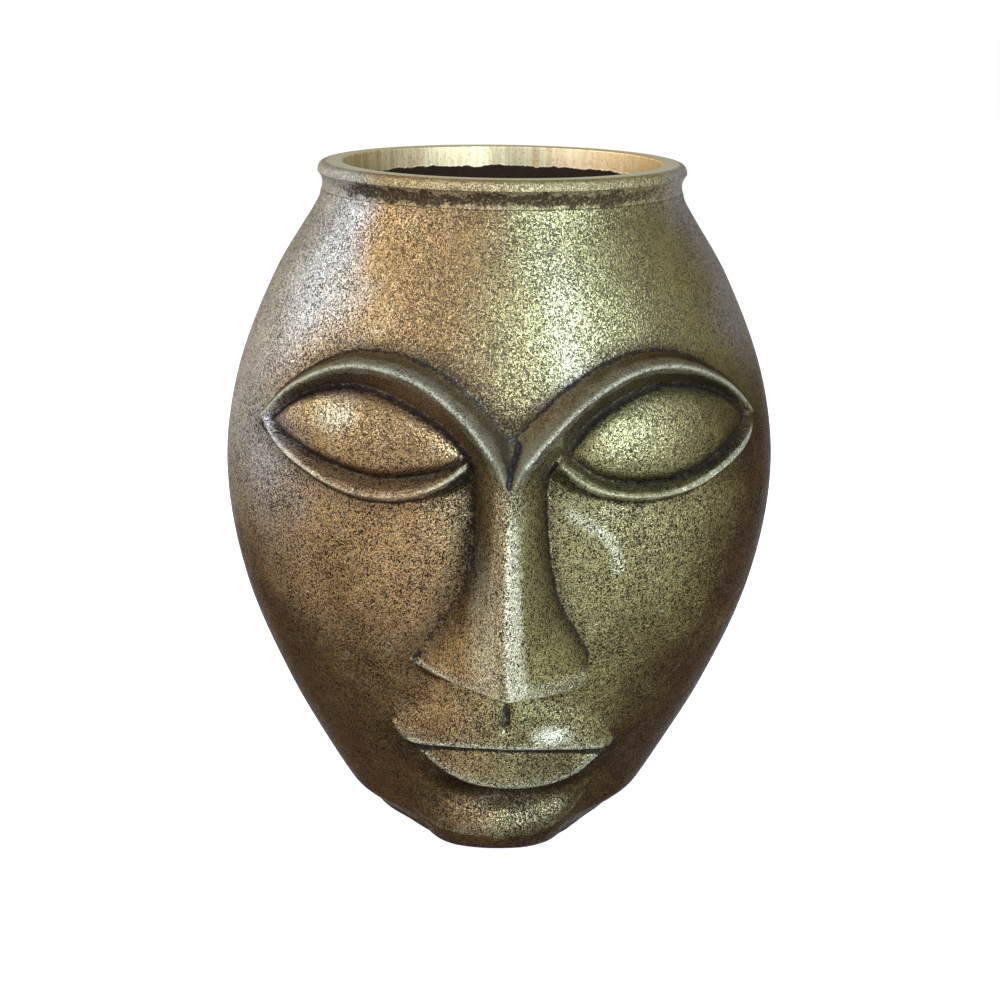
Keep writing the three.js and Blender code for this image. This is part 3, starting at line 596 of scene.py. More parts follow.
def rubbed_and_highlight_marks():
    """Where the casting is worn bright on crests, lips and raised places, and where painted highlights lie:
    an arc on the right cheek, beside the nose ridge, on the left flank of the nose, and in soft patches on
    the forehead, the upper lip and the left eye.
    """
    lines = drawn_lines([
        (line(CHEEK_HIGHLIGHT_ARC), 0.3, 3.4, 0.38),
        (under(mouth[8:-8], -0.9), 0.3, 1.4, 0.4),
        (under(lower_lip, -0.7), 0.3, 1.8, 0.25),
        (under(nose_base, -0.8), 0.3, 1.4, 0.35),
        (chin, 0.4, 1.8, 0.12),
        (line(LEFT_BROW), 0.2, 0.9, 0.6),
        (line(RIGHT_BROW), 0.2, 0.9, 0.5),
    ])
    # Painted highlights beside the nose ridge, on the left flank, the forehead, the upper lip and the left
    # eye
    width = np.interp(places_y, [90, 148], [6.5, 3.5])
    right_strip = band(from_ridge, -0.4, 0.6, width - 1.5, width + 1) * band(places_y, 84, 87, 138, 156)
    left_flank = band(-from_ridge, 0.5, 2.5, 7, 13) * band(places_y, 84, 92, 118, 150)
    forehead = bell(places_x - along_wall(12), 13) * band(places_y, 172, 195, 218, 238)
    lid_x, lid_y = left_half["top"][len(left_half["top"]) * 2 // 5, :2]
    return np.maximum.reduce([
        lines,
        0.1 * smooth(hollow_plan, 0.3, 2.2),
        0.5 * right_strip,
        0.28 * left_flank,
        0.14 * forehead,
        0.9 * patch(along_wall(12), 58.5, 13, 6),
        0.3 * patch(lid_x, lid_y - 8, 12, 8),
    ])


# The upper lip runs softly into the face
beside_lip = near(lip_top, 7, places_x, places_y)
lip_x, lip_y = places_x[beside_lip], places_y[beside_lip]
soft = 0.85 * (1 - smooth(nearest(lip_top, lip_x, lip_y)[0], 1.5, 6.5))
soft *= smooth(lip_y - height_of(mouth, lip_x), 2, 6)
relief_plan[beside_lip] = mixed(relief_plan[beside_lip], blurred(raw_plan, 3)[beside_lip], soft)
edge_plan[beside_lip] *= 1 - soft

# The nose ridge is rounder than the other edges
round_ridge = 0.9 * bell(from_ridge, 3.5)
round_ridge *= band(places_y, ridge[-1, 1], ridge[-1, 1] + 3, bridge_y - 6, bridge_y + 1)
relief_plan = mixed(relief_plan, blurred(raw_plan, 1.1), round_ridge)
edge_plan *= 1 - round_ridge

# What the material of the carved half reads at each point, by name
FACE_MARKS = {
    "edge": edge_plan, "hollow": hollow_plan, "filed": filed_plan, "soot_and_shade": soot_and_shade_marks(), "dust": dust_marks(),
    "shade": painted_shade_marks(), "rubbed_and_highlight": rubbed_and_highlight_marks(),
}


def sampled(plan, x, y):
    """Values of a plan at places between its points."""
    i = np.clip((x - plan_x[0]) / (plan_x[1] - plan_x[0]), 0, len(plan_x) - 1.001)
    j = np.clip((y - plan_y[0]) / (plan_y[1] - plan_y[0]), 0, len(plan_y) - 1.001)
    i0, j0 = i.astype(int), j.astype(int)
    fi, fj = i - i0, j - j0
    low = mixed(plan[i0, j0], plan[i0 + 1, j0], fi)
    high = mixed(plan[i0, j0 + 1], plan[i0 + 1, j0 + 1], fi)
    return mixed(low, high, fj)


def core_relief(bearing, y):
    """The lowest relief within reach, which the inside of the wall follows."""
    x = along_wall(np.clip(bearing, -90, 90)) + 0 * y
    least = sampled(relief_plan, x, y)
    for turn in np.arange(10) * pi / 5:
        for reach in (CORE_REACH / 2, CORE_REACH):
            least = np.minimum(least, sampled(relief_plan, x + reach * cos(turn), y + reach * sin(turn)))
    return least * (1 - smooth(np.abs(bearing), FACE_EDGE - 15, FACE_EDGE))


# Meshes

def make_piece(name, points, faces, material, smooth_angle=50):
    """A piece from its points in metres, smooth where its faces meet at less than an angle in degrees."""
    mesh = bpy.data.meshes.new(name)
    mesh.from_pydata([tuple(p) for p in points], [], faces)
    mesh.validate()
    mesh.polygons.foreach_set("use_smooth", [True] * len(mesh.polygons))
    mesh.set_sharp_from_angle(angle=radians(smooth_angle))
    mesh.materials.append(material)
    piece = bpy.data.objects.new(name, mesh)
    bpy.context.scene.collection.objects.link(piece)
    return piece


def give_values(piece, name, values):
    """Stores one number for each point, for the material to read."""
    layer = piece.data.attributes.new(name, "FLOAT", "POINT")
    layer.data.foreach_set("value", np.asarray(values, np.float32))


def spread(start, end, step):
    """Even values from start to end, about a step apart."""
    return np.linspace(start, end, max(int(round((end - start) / step)), 1) + 1)


class Shell:
    """Columns of points that are joined into strips and flat caps."""

    def __init__(self):
        self.points = []
        self.faces = []

    def add(self, block):
        """Adds columns by rows of points and returns their numbers."""
        first = len(self.points)
        self.points.extend(block.reshape(-1, 3))
        return first + np.arange(block.shape[0] * block.shape[1]).reshape(block.shape[:2])

    def strips(self, numbers):
        """Joins neighbouring columns."""
        low = numbers[:-1, :-1], numbers[1:, :-1]
        high = numbers[1:, 1:], numbers[:-1, 1:]
        self.faces.extend(np.stack([*low, *high], axis=-1).reshape(-1, 4).tolist())

    def cap(self, loop):
        """Closes a flat loop."""
        self.faces.append([int(i) for i in loop])


def wall_rows():
    """Heights of the inner wall, and its distance from the axis at a bearing on each."""
    plate_top = drawn(FOOT + PLATE_THICKNESS + SEAM_GAP)
    ledge = plate_top + 1
    throat = drawn(SHOULDER - THROAT_DEPTH)

    def pocket(bearing):
        return vessel_radius(bearing, np.full(np.shape(bearing), float(DRAWN_FOOT))) - WALL

    rows = [(DRAWN_FOOT, pocket), (plate_top, pocket), (ledge, lambda b: pocket(b) - LEDGE_WIDTH)]
    for y in spread(ledge, throat, 6)[1:-1]:
        rows.append((y, lambda b, y=y: inner_wall(b, y)))
    rows.append((throat, lambda b: THROAT_RADIUS + 0 * b))
    rows.append((DRAWN_TOP, lambda b: THROAT_RADIUS + 0 * b))
    return rows


def inner_wall(bearing, y):
    """Distance of the lining from the axis, a wall's thickness behind the lowest carving nearby."""
    y = np.full(np.shape(bearing), float(y))
    core = np.where(np.abs(bearing) < 90, core_relief(bearing, y), 0)
    return vessel_radius(bearing, y) - WALL + core


def plane_column(side, plane, rows, radius):
    """A column of points on a plane square to Y, on the right for side 1 and on the left for side -1."""
    out = []
    for y, inner in rows:
        r = radius(y, inner)
        out.append((side * (r * r - plane * plane) ** 0.5 * MM, AXIS_Y + plane * MM, level(y) * MM))
    return np.array(out)


def casting(skin_x, skin_rows, skin_radius, bearings, seam, lap, mid_wall, front):
    """One half of the casting: fine skin outside, lining with the stepped side joint inside."""
    shell = Shell()
    rows = wall_rows()
    xs, ys = np.meshgrid(skin_x, skin_rows, indexing="ij")
    skin_points = wall_points(xs, ys, skin_radius(xs, ys))
    plane = seam * MM
    for end in (0, -1):
        radius = (vessel_radius(np.full(len(skin_rows), 90.0), skin_rows) - shoulder_edge(skin_rows)) * MM
        sign = np.sign(skin_points[end, 0, 0])
        skin_points[end, :, 0] = sign * np.sqrt(radius ** 2 - plane ** 2)
        skin_points[end, :, 1] = AXIS_Y + plane
    skin = shell.add(skin_points)
    shell.strips(skin)

    def bearing_on(p, y):
        return 90 + np.degrees(np.arcsin(p / vessel_radius(90.0, float(y))))

    def step(p):
        return lambda y, inner: vessel_radius(bearing_on(p, y), float(y)) - mid_wall

    def inner_end(y, inner):
        return inner(np.array([bearing_on(lap, y)]))[0]

    start = 1 if front else -1
    columns = [
        plane_column(start, seam, rows, step(seam)),
        plane_column(start, lap, rows, step(lap)),
        plane_column(start, lap, rows, inner_end),
    ]
    for b in bearings[::-1]:
        column = [wall_points(np.array([b]), np.array([y]), inner(np.array([b])))[0] for y, inner in rows]
        columns.append(np.array(column))
    columns += [
        plane_column(-start, lap, rows, inner_end),
        plane_column(-start, lap, rows, step(lap)),
        plane_column(-start, seam, rows, step(seam)),
    ]
    lining = shell.add(np.array(columns))
    shell.strips(lining)
    shell.cap(np.concatenate([skin[-1][::-1], lining[0]]))
    shell.cap(np.concatenate([skin[0], lining[-1][::-1]]))
    shell.cap(np.concatenate([skin[:, -1], lining[:, -1]]))
    shell.cap(np.concatenate([skin[:, 0], lining[:, 0]])[::-1])
    return shell, xs, ys


def face_shell(material):
    """The carved front half, with the values that its material reads."""
    carved = spread(-CARVED_X, CARVED_X, FINE_STEP)
    xs = np.concatenate([
        spread(-EDGE_X, -CARVED_X, PLAIN_STEP)[:-1], carved, spread(CARVED_X, EDGE_X, PLAIN_STEP)[1:],
    ])
    ys = np.concatenate([
        spread(DRAWN_FOOT, CARVED_TOP, FINE_STEP),
        spread(CARVED_TOP, DRAWN_TOP - SHOULDER_ROUND, ROW_STEP)[1:],
        spread(DRAWN_TOP - SHOULDER_ROUND, DRAWN_TOP, ROUND_STEP)[1:],
    ])
    bearings = np.degrees(xs / FACE_RADIUS)

    def radius(bearing, y):
        return vessel_radius(bearing, y) + sampled(relief_plan, along_wall(bearing), y) - shoulder_edge(y)

    shell, b, y = casting(bearings, ys, radius, spread(-90, 90, LINING_STEP), 0, TONGUE_REACH, WALL / 2, True)
    piece = make_piece("face_casting", shell.points, shell.faces, material, 75)
    count = b.size
    for name, plan in FACE_MARKS.items():
        values = np.zeros(len(shell.points))
        values[:count] = sampled(plan, along_wall(b), y).reshape(-1)
        give_values(piece, name, values)
    give_values(piece, "lining", np.arange(len(shell.points)) >= count)
    return piece


def back_shell(material):
    """The plain back half, whose lining starts clear of the tongues."""
    ys = np.concatenate([
        spread(DRAWN_FOOT, DRAWN_TOP - SHOULDER_ROUND, ROW_STEP),
        spread(DRAWN_TOP - SHOULDER_ROUND, DRAWN_TOP, ROUND_STEP)[1:],
    ])
    least = vessel_radius(90.0, float(DRAWN_FOOT)) - WALL - LEDGE_WIDTH
    lap = TONGUE_REACH + SEAM_GAP
    clear = 90 + np.degrees(np.arcsin(lap / least)) + 3

    def radius(bearing, y):
        return vessel_radius(bearing, y) - shoulder_edge(y)

    lining = spread(clear, 360 - clear, LINING_STEP)
    shell, b, y = casting(
        spread(90, 270, BACK_STEP), ys, radius, lining, SEAM_GAP, lap, WALL / 2 - SEAM_GAP, False)
    piece = make_piece("back_casting", shell.points, shell.faces, material, 50)
    give_values(piece, "lining", np.arange(len(shell.points)) >= b.size)
    return piece


def lathe(name, outline, segments, material, centre, smooth_angle=40, solid=False):
    """Turns an outline of radius and height, in mm, about an upright axis. A solid one has flat ends."""
    outline = np.array(outline)
    turn = np.arange(segments) * 2 * pi / segments
    points = np.stack([
        centre[0] + outline[None, :, 0] * np.cos(turn)[:, None] * MM,
        centre[1] + outline[None, :, 0] * np.sin(turn)[:, None] * MM,
        np.repeat(centre[2] + outline[None, :, 1] * MM, segments, axis=0),
    ], axis=-1)
    count = len(outline)
    a = np.arange(segments)[:, None] * count + np.arange(count)[None, :]
    b = np.roll(a, -1, axis=0)
    faces = np.stack([a, b, np.roll(b, -1, axis=1), np.roll(a, -1, axis=1)], axis=-1)
    if solid:
        faces = faces[:, :-1]
    faces = faces.reshape(-1, 4).tolist()
    if solid:
        faces += [a[::-1, 0].tolist(), a[:, -1].tolist()]
    return make_piece(name, points.reshape(-1, 3), faces, material, smooth_angle)


def arc(centre, radius, start, end, count):
    """Points on an arc between two directions in degrees."""
    turn = np.radians(np.linspace(start, end, count))
    return [(centre[0] + radius * cos(t), centre[1] + radius * sin(t)) for t in turn]


def bend(start, control, end, count):
    """Points on a curve that leaves start and reaches end along the lines through control."""
    t = np.linspace(0, 1, count)[:, None]
    start, control, end = (np.array(p, float) for p in (start, control, end))
    return [tuple(p) for p in (1 - t) ** 2 * start + 2 * t * (1 - t) * control + t * t * end]


# The mouth ring, in mm
BORE = 57.5
RING_TOP = TOP - SHOULDER - SEAM_GAP
LIP_DROP = 3.4
LIP_WIDTH = 9
LIP_LAND = 5
NECK_WALL = 7.1
SPIGOT_WALL = 2.5
SPIGOT_DEPTH = 4
FOOT_REACH = 0.5
NECK_PULL = 0.9
LAND_RUN = 0.8
BORE_EDGE = 0.6
RING_TURNS = 240


def mouth_ring(material):
    """Spigot, neck that flows up from the castings, rolled lip and flat land, turned in one."""
    foot, lip, spigot = BORE + NECK_WALL + FOOT_REACH, BORE + LIP_WIDTH, BORE + SPIGOT_WALL
    seat, lip_foot = 0.02 - SEAM_GAP, RING_TOP - LIP_DROP
    outline = [(BORE, -SPIGOT_DEPTH), (spigot, -SPIGOT_DEPTH), (spigot, seat), (foot, seat)]
    outline += bend((foot, seat + 0.05), (foot - NECK_PULL, lip_foot * 0.55), (lip, lip_foot), 14)
    outline += bend((lip, lip_foot), (lip, RING_TOP), (BORE + LIP_LAND + LAND_RUN, RING_TOP), 16)[1:]
    outline += arc((BORE + BORE_EDGE, RING_TOP - BORE_EDGE), BORE_EDGE, 90, 180, 5)
    base = (0, AXIS_Y, (SHOULDER + SEAM_GAP) * MM)
    return lathe("mouth_ring_turned", outline, RING_TURNS, material, base, 35)


def base_plate(material):
    """The plate in the foot, with rounded edges."""
    turn = np.arange(0, 360, 2.0)
    foot = np.full(turn.shape, float(DRAWN_FOOT))
    radius = vessel_radius(turn, foot) - WALL - PLATE_GAP
    rings = [
        (-PLATE_ROUND, 0), (0, PLATE_ROUND),
        (0, PLATE_THICKNESS - PLATE_ROUND), (-PLATE_ROUND, PLATE_THICKNESS),
    ]
    points, faces = [], []
    for inset, height in rings:
        ring = wall_points(turn, foot, radius + inset)
        ring[:, 2] = (FOOT + height) * MM
        points.extend(ring)
    count = len(turn)
    for k in range(len(rings) - 1):
        for i in range(count):
            j = (i + 1) % count
            faces.append([k * count + i, k * count + j, (k + 1) * count + j, (k + 1) * count + i])
    faces.append(list(range(count))[::-1])
    faces.append(list(range((len(rings) - 1) * count, len(rings) * count)))
    return make_piece("base_plate_cast", points, faces, material, 40)


def felt_pad(node, material):
    """A round pad as wide and as thick as its node."""
    low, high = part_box(node)
    radius = (high[0] - low[0]) / 2 / MM
    thick = (high[2] - low[2]) / MM
    low_round = arc((radius - PAD_ROUND_LOW, PAD_ROUND_LOW), PAD_ROUND_LOW, -90, 0, 6)
    top_round = arc((radius - PAD_ROUND_TOP, thick - PAD_ROUND_TOP), PAD_ROUND_TOP, 0, 90, 5)
    centre = ((low[0] + high[0]) / 2, (low[1] + high[1]) / 2, low[2])
    return lathe(node + "_felt", low_round + top_round, 64, material, centre, 60, solid=True)


# Node helpers

def feed(tree, node, inputs):
    """Links sockets to a node's inputs, and sets plain values on them."""
    for key, value in inputs.items():
        if isinstance(value, bpy.types.NodeSocket):
            tree.links.new(value, node.inputs[key])
        else:
            node.inputs[key].default_value = value


def put(tree, kind, inputs=None, **settings):
    """Adds a node, with its settings and with values or links for its inputs."""
    node = tree.nodes.new(kind)
    for key, value in settings.items():
        setattr(node, key, value)
    feed(tree, node, inputs or {})
    return node


def calculate(tree, operation, *values):
    return put(tree, "ShaderNodeMath", dict(enumerate(values)), operation=operation).outputs[0]


def plus(tree, *values):
    return reduce(lambda total, value: calculate(tree, "ADD", total, value), values)


def minus(tree, value, less):
    return calculate(tree, "SUBTRACT", value, less)


def times(tree, *values):
    return reduce(lambda product, value: calculate(tree, "MULTIPLY", product, value), values)


def highest(tree, *values):
    return reduce(lambda most, value: calculate(tree, "MAXIMUM", most, value), values)


def ramp(tree, value, low, high, start=0.0, end=1.0):
    """Smooth change from start to end while the value goes from low to high."""
    inputs = {"Value": value, "From Min": low, "From Max": high, "To Min": start, "To Max": end}
    return put(tree, "ShaderNodeMapRange", inputs, interpolation_type="SMOOTHSTEP").outputs[0]


def brighten(tree, colour, factor):
    return put(tree, "ShaderNodeVectorMath", {0: colour, "Scale": factor}, operation="SCALE").outputs[0]


def blend_colours(tree, share, a, b):
    return put(tree, "ShaderNodeMix", {0: share, 6: a, 7: b}, data_type="RGBA").outputs[2]


def noise(tree, place, scale, detail=2.0, roughness=0.5, distortion=0.0):
    inputs = {
        "Vector": place, "Scale": scale, "Detail": detail, "Roughness": roughness, "Distortion": distortion,
    }
    return put(tree, "ShaderNodeTexNoise", inputs).outputs["Fac"]


def wander(tree, place, scale, detail=2.0, roughness=0.5):
    """Noise on both sides of zero."""
    return minus(tree, noise(tree, place, scale, detail, roughness), 0.5)


def moved(tree, place, step):
    return put(tree, "ShaderNodeVectorMath", {0: place, 1: step}, operation="ADD").outputs[0]


def stretched(tree, place, x, y, z):
    return put(tree, "ShaderNodeVectorMath", {0: place, 1: (x, y, z)}, operation="MULTIPLY").outputs[0]


def ways(tree, vector):
    """The parts of a vector along X, Y and Z."""
    return put(tree, "ShaderNodeSeparateXYZ", {0: vector}).outputs


def from_axis(tree, way):
    """Distance from the vase's axis, and how far to the side a place is, from -1 left to 1 right."""
    back = minus(tree, way["Y"], AXIS_Y)
    radius = calculate(tree, "SQRT", plus(tree, times(tree, way["X"], way["X"]), times(tree, back, back)))
    return radius, calculate(tree, "DIVIDE", way["X"], radius)


def bumped(tree, height, strength, depth):
    inputs = {"Height": height, "Strength": strength, "Distance": depth}
    return put(tree, "ShaderNodeBump", inputs).outputs[0]


def set_group(tree, group, inputs):
    return put(tree, "ShaderNodeGroup", inputs, node_tree=group).outputs


def new_group(name, inputs, outputs):
    """A shader group with named inputs, given as (kind, value), and named outputs."""
    tree = bpy.data.node_groups.new(name, "ShaderNodeTree")
    for label, (kind, value) in inputs.items():
        socket = tree.interface.new_socket(label, in_out="INPUT", socket_type=kind)
        if value is not None:
            socket.default_value = value
    for label, kind in outputs.items():
        tree.interface.new_socket(label, in_out="OUTPUT", socket_type=kind)
    return tree, tree.nodes.new("NodeGroupInput").outputs, tree.nodes.new("NodeGroupOutput")


# Finishes

NUMBER, COLOUR, VECTOR = "NodeSocketFloat", "NodeSocketColor", "NodeSocketVector"
GRAINS_PER_METRE = 1050.0
LIT_FROM = (-0.0001, 0, 0.00024)
CAST_BUMP = 0.00019
RING_BUMP = 0.0006
PLATE_BUMP = 0.0009
FELT_BUMP = 0.0002

# Colours of the brass: copper on the left and green gold on the right stand for painted light from each side,
# silver for a painted sheen, and dark brass for painted shade
COPPER_LEFT_PAINTED_LIGHT = (0.2, 0.112, 0.038, 1)
GREEN_GOLD_RIGHT_PAINTED_LIGHT = (0.165, 0.14, 0.047, 1)
PAINTED_SHEEN_SILVER = (0.26, 0.238, 0.198, 1)
PAINTED_SHADE_BRASS = (0.033, 0.021, 0.007, 1)
# Filed brow bands: lighter on the left as painted light, darker and redder on the right as painted shade
FILED_LIT_LEFT = (0.068, 0.05, 0.022, 1)
FILED_SHADED_RIGHT = (0.055, 0.026, 0.008, 1)
PAINTED_SHADE_BROWN = (0.028, 0.018, 0.006, 1)
RUBBED_AND_HIGHLIT_BRASS = (0.48, 0.44, 0.25, 1)
SOOT_AND_PAINTED_SHADE = (0.016, 0.012, 0.01, 1)
DUST = (0.085, 0.085, 0.07, 1)
PIT = (0.014, 0.008, 0.004, 1)
CASTING_GLINT = (0.35, 0.28, 0.18, 1)

# The ring's tones: painted light from each side, a painted sheen and painted shade, as on the castings
RING_PAINTED_LIGHT_TONES = {
    "Copper, painted left light": (0.2, 0.13, 0.05, 1), "Green gold, painted right light": (0.18, 0.142, 0.052, 1), "Silver as painted sheen": (0.2, 0.175, 0.135, 1),
    "Dark": (0.12, 0.095, 0.04, 1),
}
TURNED_LAND = (0.38, 0.34, 0.2, 1)
BORE_GOLD = (0.3, 0.215, 0.08, 1)
BORE_STREAK = (0.43, 0.345, 0.155, 1)
BORE_PAINTED_WARM_LIGHT = (0.5, 0.29, 0.13, 1)
NECK_DIRT_AND_SHADE = (0.02, 0.011, 0.005, 1)
RING_PIT = (0.022, 0.014, 0.006, 1)
RING_GLINT = (0.5, 0.45, 0.35, 1)

PLATE_DARK = (0.14, 0.1, 0.055, 1)
PLATE_LIGHT = (0.26, 0.2, 0.1, 1)
PLATE_PIT = (0.03, 0.02, 0.015, 1)
FELT_DEEP = (0.016, 0.015, 0.014, 1)
FELT_FIBRE = (0.06, 0.056, 0.05, 1)


def grain_height():
    """Height of the casting's skin: crooked valleys between raised grains, under smaller specks."""
    tree, given, result = new_group(
        "Grain height",
        {"Place": (VECTOR, None), "Per metre": (NUMBER, GRAINS_PER_METRE)},
        {"Valleys": NUMBER, "Specks": NUMBER, "Height": NUMBER},
    )
    place = stretched(tree, given["Place"], 1, 1, 0.75)
    crooked = noise(tree, place, given["Per metre"], 1.5, 0.6, 1.2)
    valleys = calculate(tree, "ABSOLUTE", minus(tree, crooked, 0.5))
    specks = noise(tree, given["Place"], times(tree, given["Per metre"], 1.7), 1.0)
    height = plus(tree, times(tree, valleys, 1.6), specks)
    feed(tree, result, {"Valleys": valleys, "Specks": specks, "Height": height})
    return tree


def sand_grain_and_painted_light(height_group):
    """Grain of a sand casting: dark crooked pits between raised grains, with a painted highlight on their
    upper sides.
    """
    tree, given, result = new_group(
        "Sand-cast grain and painted light",
        {"Place": (VECTOR, None), "Per metre": (NUMBER, GRAINS_PER_METRE), "Density": (NUMBER, 0.5)},
        {"Height": NUMBER, "Pits": NUMBER, "Lit": NUMBER},
    )
    scale = given["Per metre"]
    here = set_group(tree, height_group, {"Place": given["Place"], "Per metre": scale})
    above = moved(tree, given["Place"], LIT_FROM)
    beyond = set_group(tree, height_group, {"Place": above, "Per metre": scale})
    patches = ramp(tree, noise(tree, given["Place"], 60.0, 3.0, 0.6), 0.3, 0.7, -0.014, 0.014)
    breaks = ramp(tree, here["Specks"], 0.3, 0.7, -0.06, 0.03)
    width = plus(tree, patches, times(tree, given["Density"], 0.16), breaks)
    pits = ramp(tree, minus(tree, width, here["Valleys"]), -0.012, 0.03)
    # Lit is a painted highlight on the grains' upper sides
    slope = minus(tree, here["Height"], beyond["Height"])
    height = minus(tree, here["Height"], times(tree, pits, 0.5))
    feed(tree, result, {"Height": height, "Pits": pits, "Lit": ramp(tree, slope, 0.0, 0.2)})
    return tree


def painted_light_tone():
    """Brass by the way it faces, with painted light and shade: copper as painted warm light on the left,
    green gold as painted light on the right, a painted silver sheen far out and high up, and painted shade
    low down and on the right.
    """
    tree, given, result = new_group(
        "Brass tone with painted light and shade",
        {
            "Place": (VECTOR, None), "Facing": (VECTOR, None), "Copper, painted left light": (COLOUR, COPPER_LEFT_PAINTED_LIGHT),
            "Green gold, painted right light": (COLOUR, GREEN_GOLD_RIGHT_PAINTED_LIGHT), "Silver as painted sheen": (COLOUR, PAINTED_SHEEN_SILVER), "Dark": (COLOUR, PAINTED_SHADE_BRASS),
        },
        {"Color": COLOUR},
    )
    facing, way = ways(tree, given["Facing"]), ways(tree, given["Place"])
    across = from_axis(tree, way)[1]
    drifted = plus(tree, across, times(tree, wander(tree, given["Place"], 21.0, 3.0), 0.5))
    side = plus(tree, drifted, times(tree, facing["X"], 0.25))
    # Copper to green gold across the vase: painted warm light from the left and painted light from the right
    hue = blend_colours(tree, ramp(tree, side, -0.48, 0.2), given["Copper, painted left light"], given["Green gold, painted right light"])

    # Painted sheen in silver on the far left, and high on the far right
    high = ramp(tree, way["Z"], 0.165, 0.205)
    left_painted_sheen = times(tree, ramp(tree, drifted, -0.56, -0.9, 0.0, 0.9), ramp(tree, way["Z"], 0.08, 0.18))
    right_painted_sheen = times(tree, ramp(tree, drifted, 0.7, 0.95, 0.0, 0.9), high)
    hue = blend_colours(tree, highest(tree, left_painted_sheen, right_painted_sheen), hue, given["Silver as painted sheen"])

    # Painted shade: darker low down, far to the sides, and on the right below the shoulder
    cloud = times(tree, wander(tree, given["Place"], 26.0, 4.0, 0.6), 0.5)
    sideways = times(tree, calculate(tree, "ABSOLUTE", across), 0.4)
    down = minus(tree, 0.47, times(tree, way["Z"], 3.0))
    leaning = minus(tree, down, times(tree, facing["Z"], 0.25))
    low_shade = ramp(tree, plus(tree, sideways, leaning, cloud), 0.24, 0.66, 0.0, 0.88)
    right_shade = ramp(tree, plus(tree, across, cloud), 0.48, 0.86, 0.0, 0.9)
    right_shade = times(tree, right_shade, minus(tree, 1.0, high))
    shade = highest(tree, low_shade, right_shade)
    feed(tree, result, {"Color": blend_colours(tree, shade, hue, given["Dark"])})
    return tree


GRAIN_AND_PAINTED_LIGHT, PAINTED_LIGHT_TONE = sand_grain_and_painted_light(grain_height()), painted_light_tone()


def new_material(name):
    """A material, its tree and shader, and the place and facing on the piece."""
    material = bpy.data.materials.new(name)
    material.use_nodes = True
    tree = material.node_tree
    tree.nodes.clear()
    shader = put(tree, "ShaderNodeBsdfPrincipled")
    put(tree, "ShaderNodeOutputMaterial", {"Surface": shader.outputs[0]})
    coordinates = put(tree, "ShaderNodeTexCoord").outputs
    return material, tree, shader, coordinates["Object"], coordinates["Normal"]


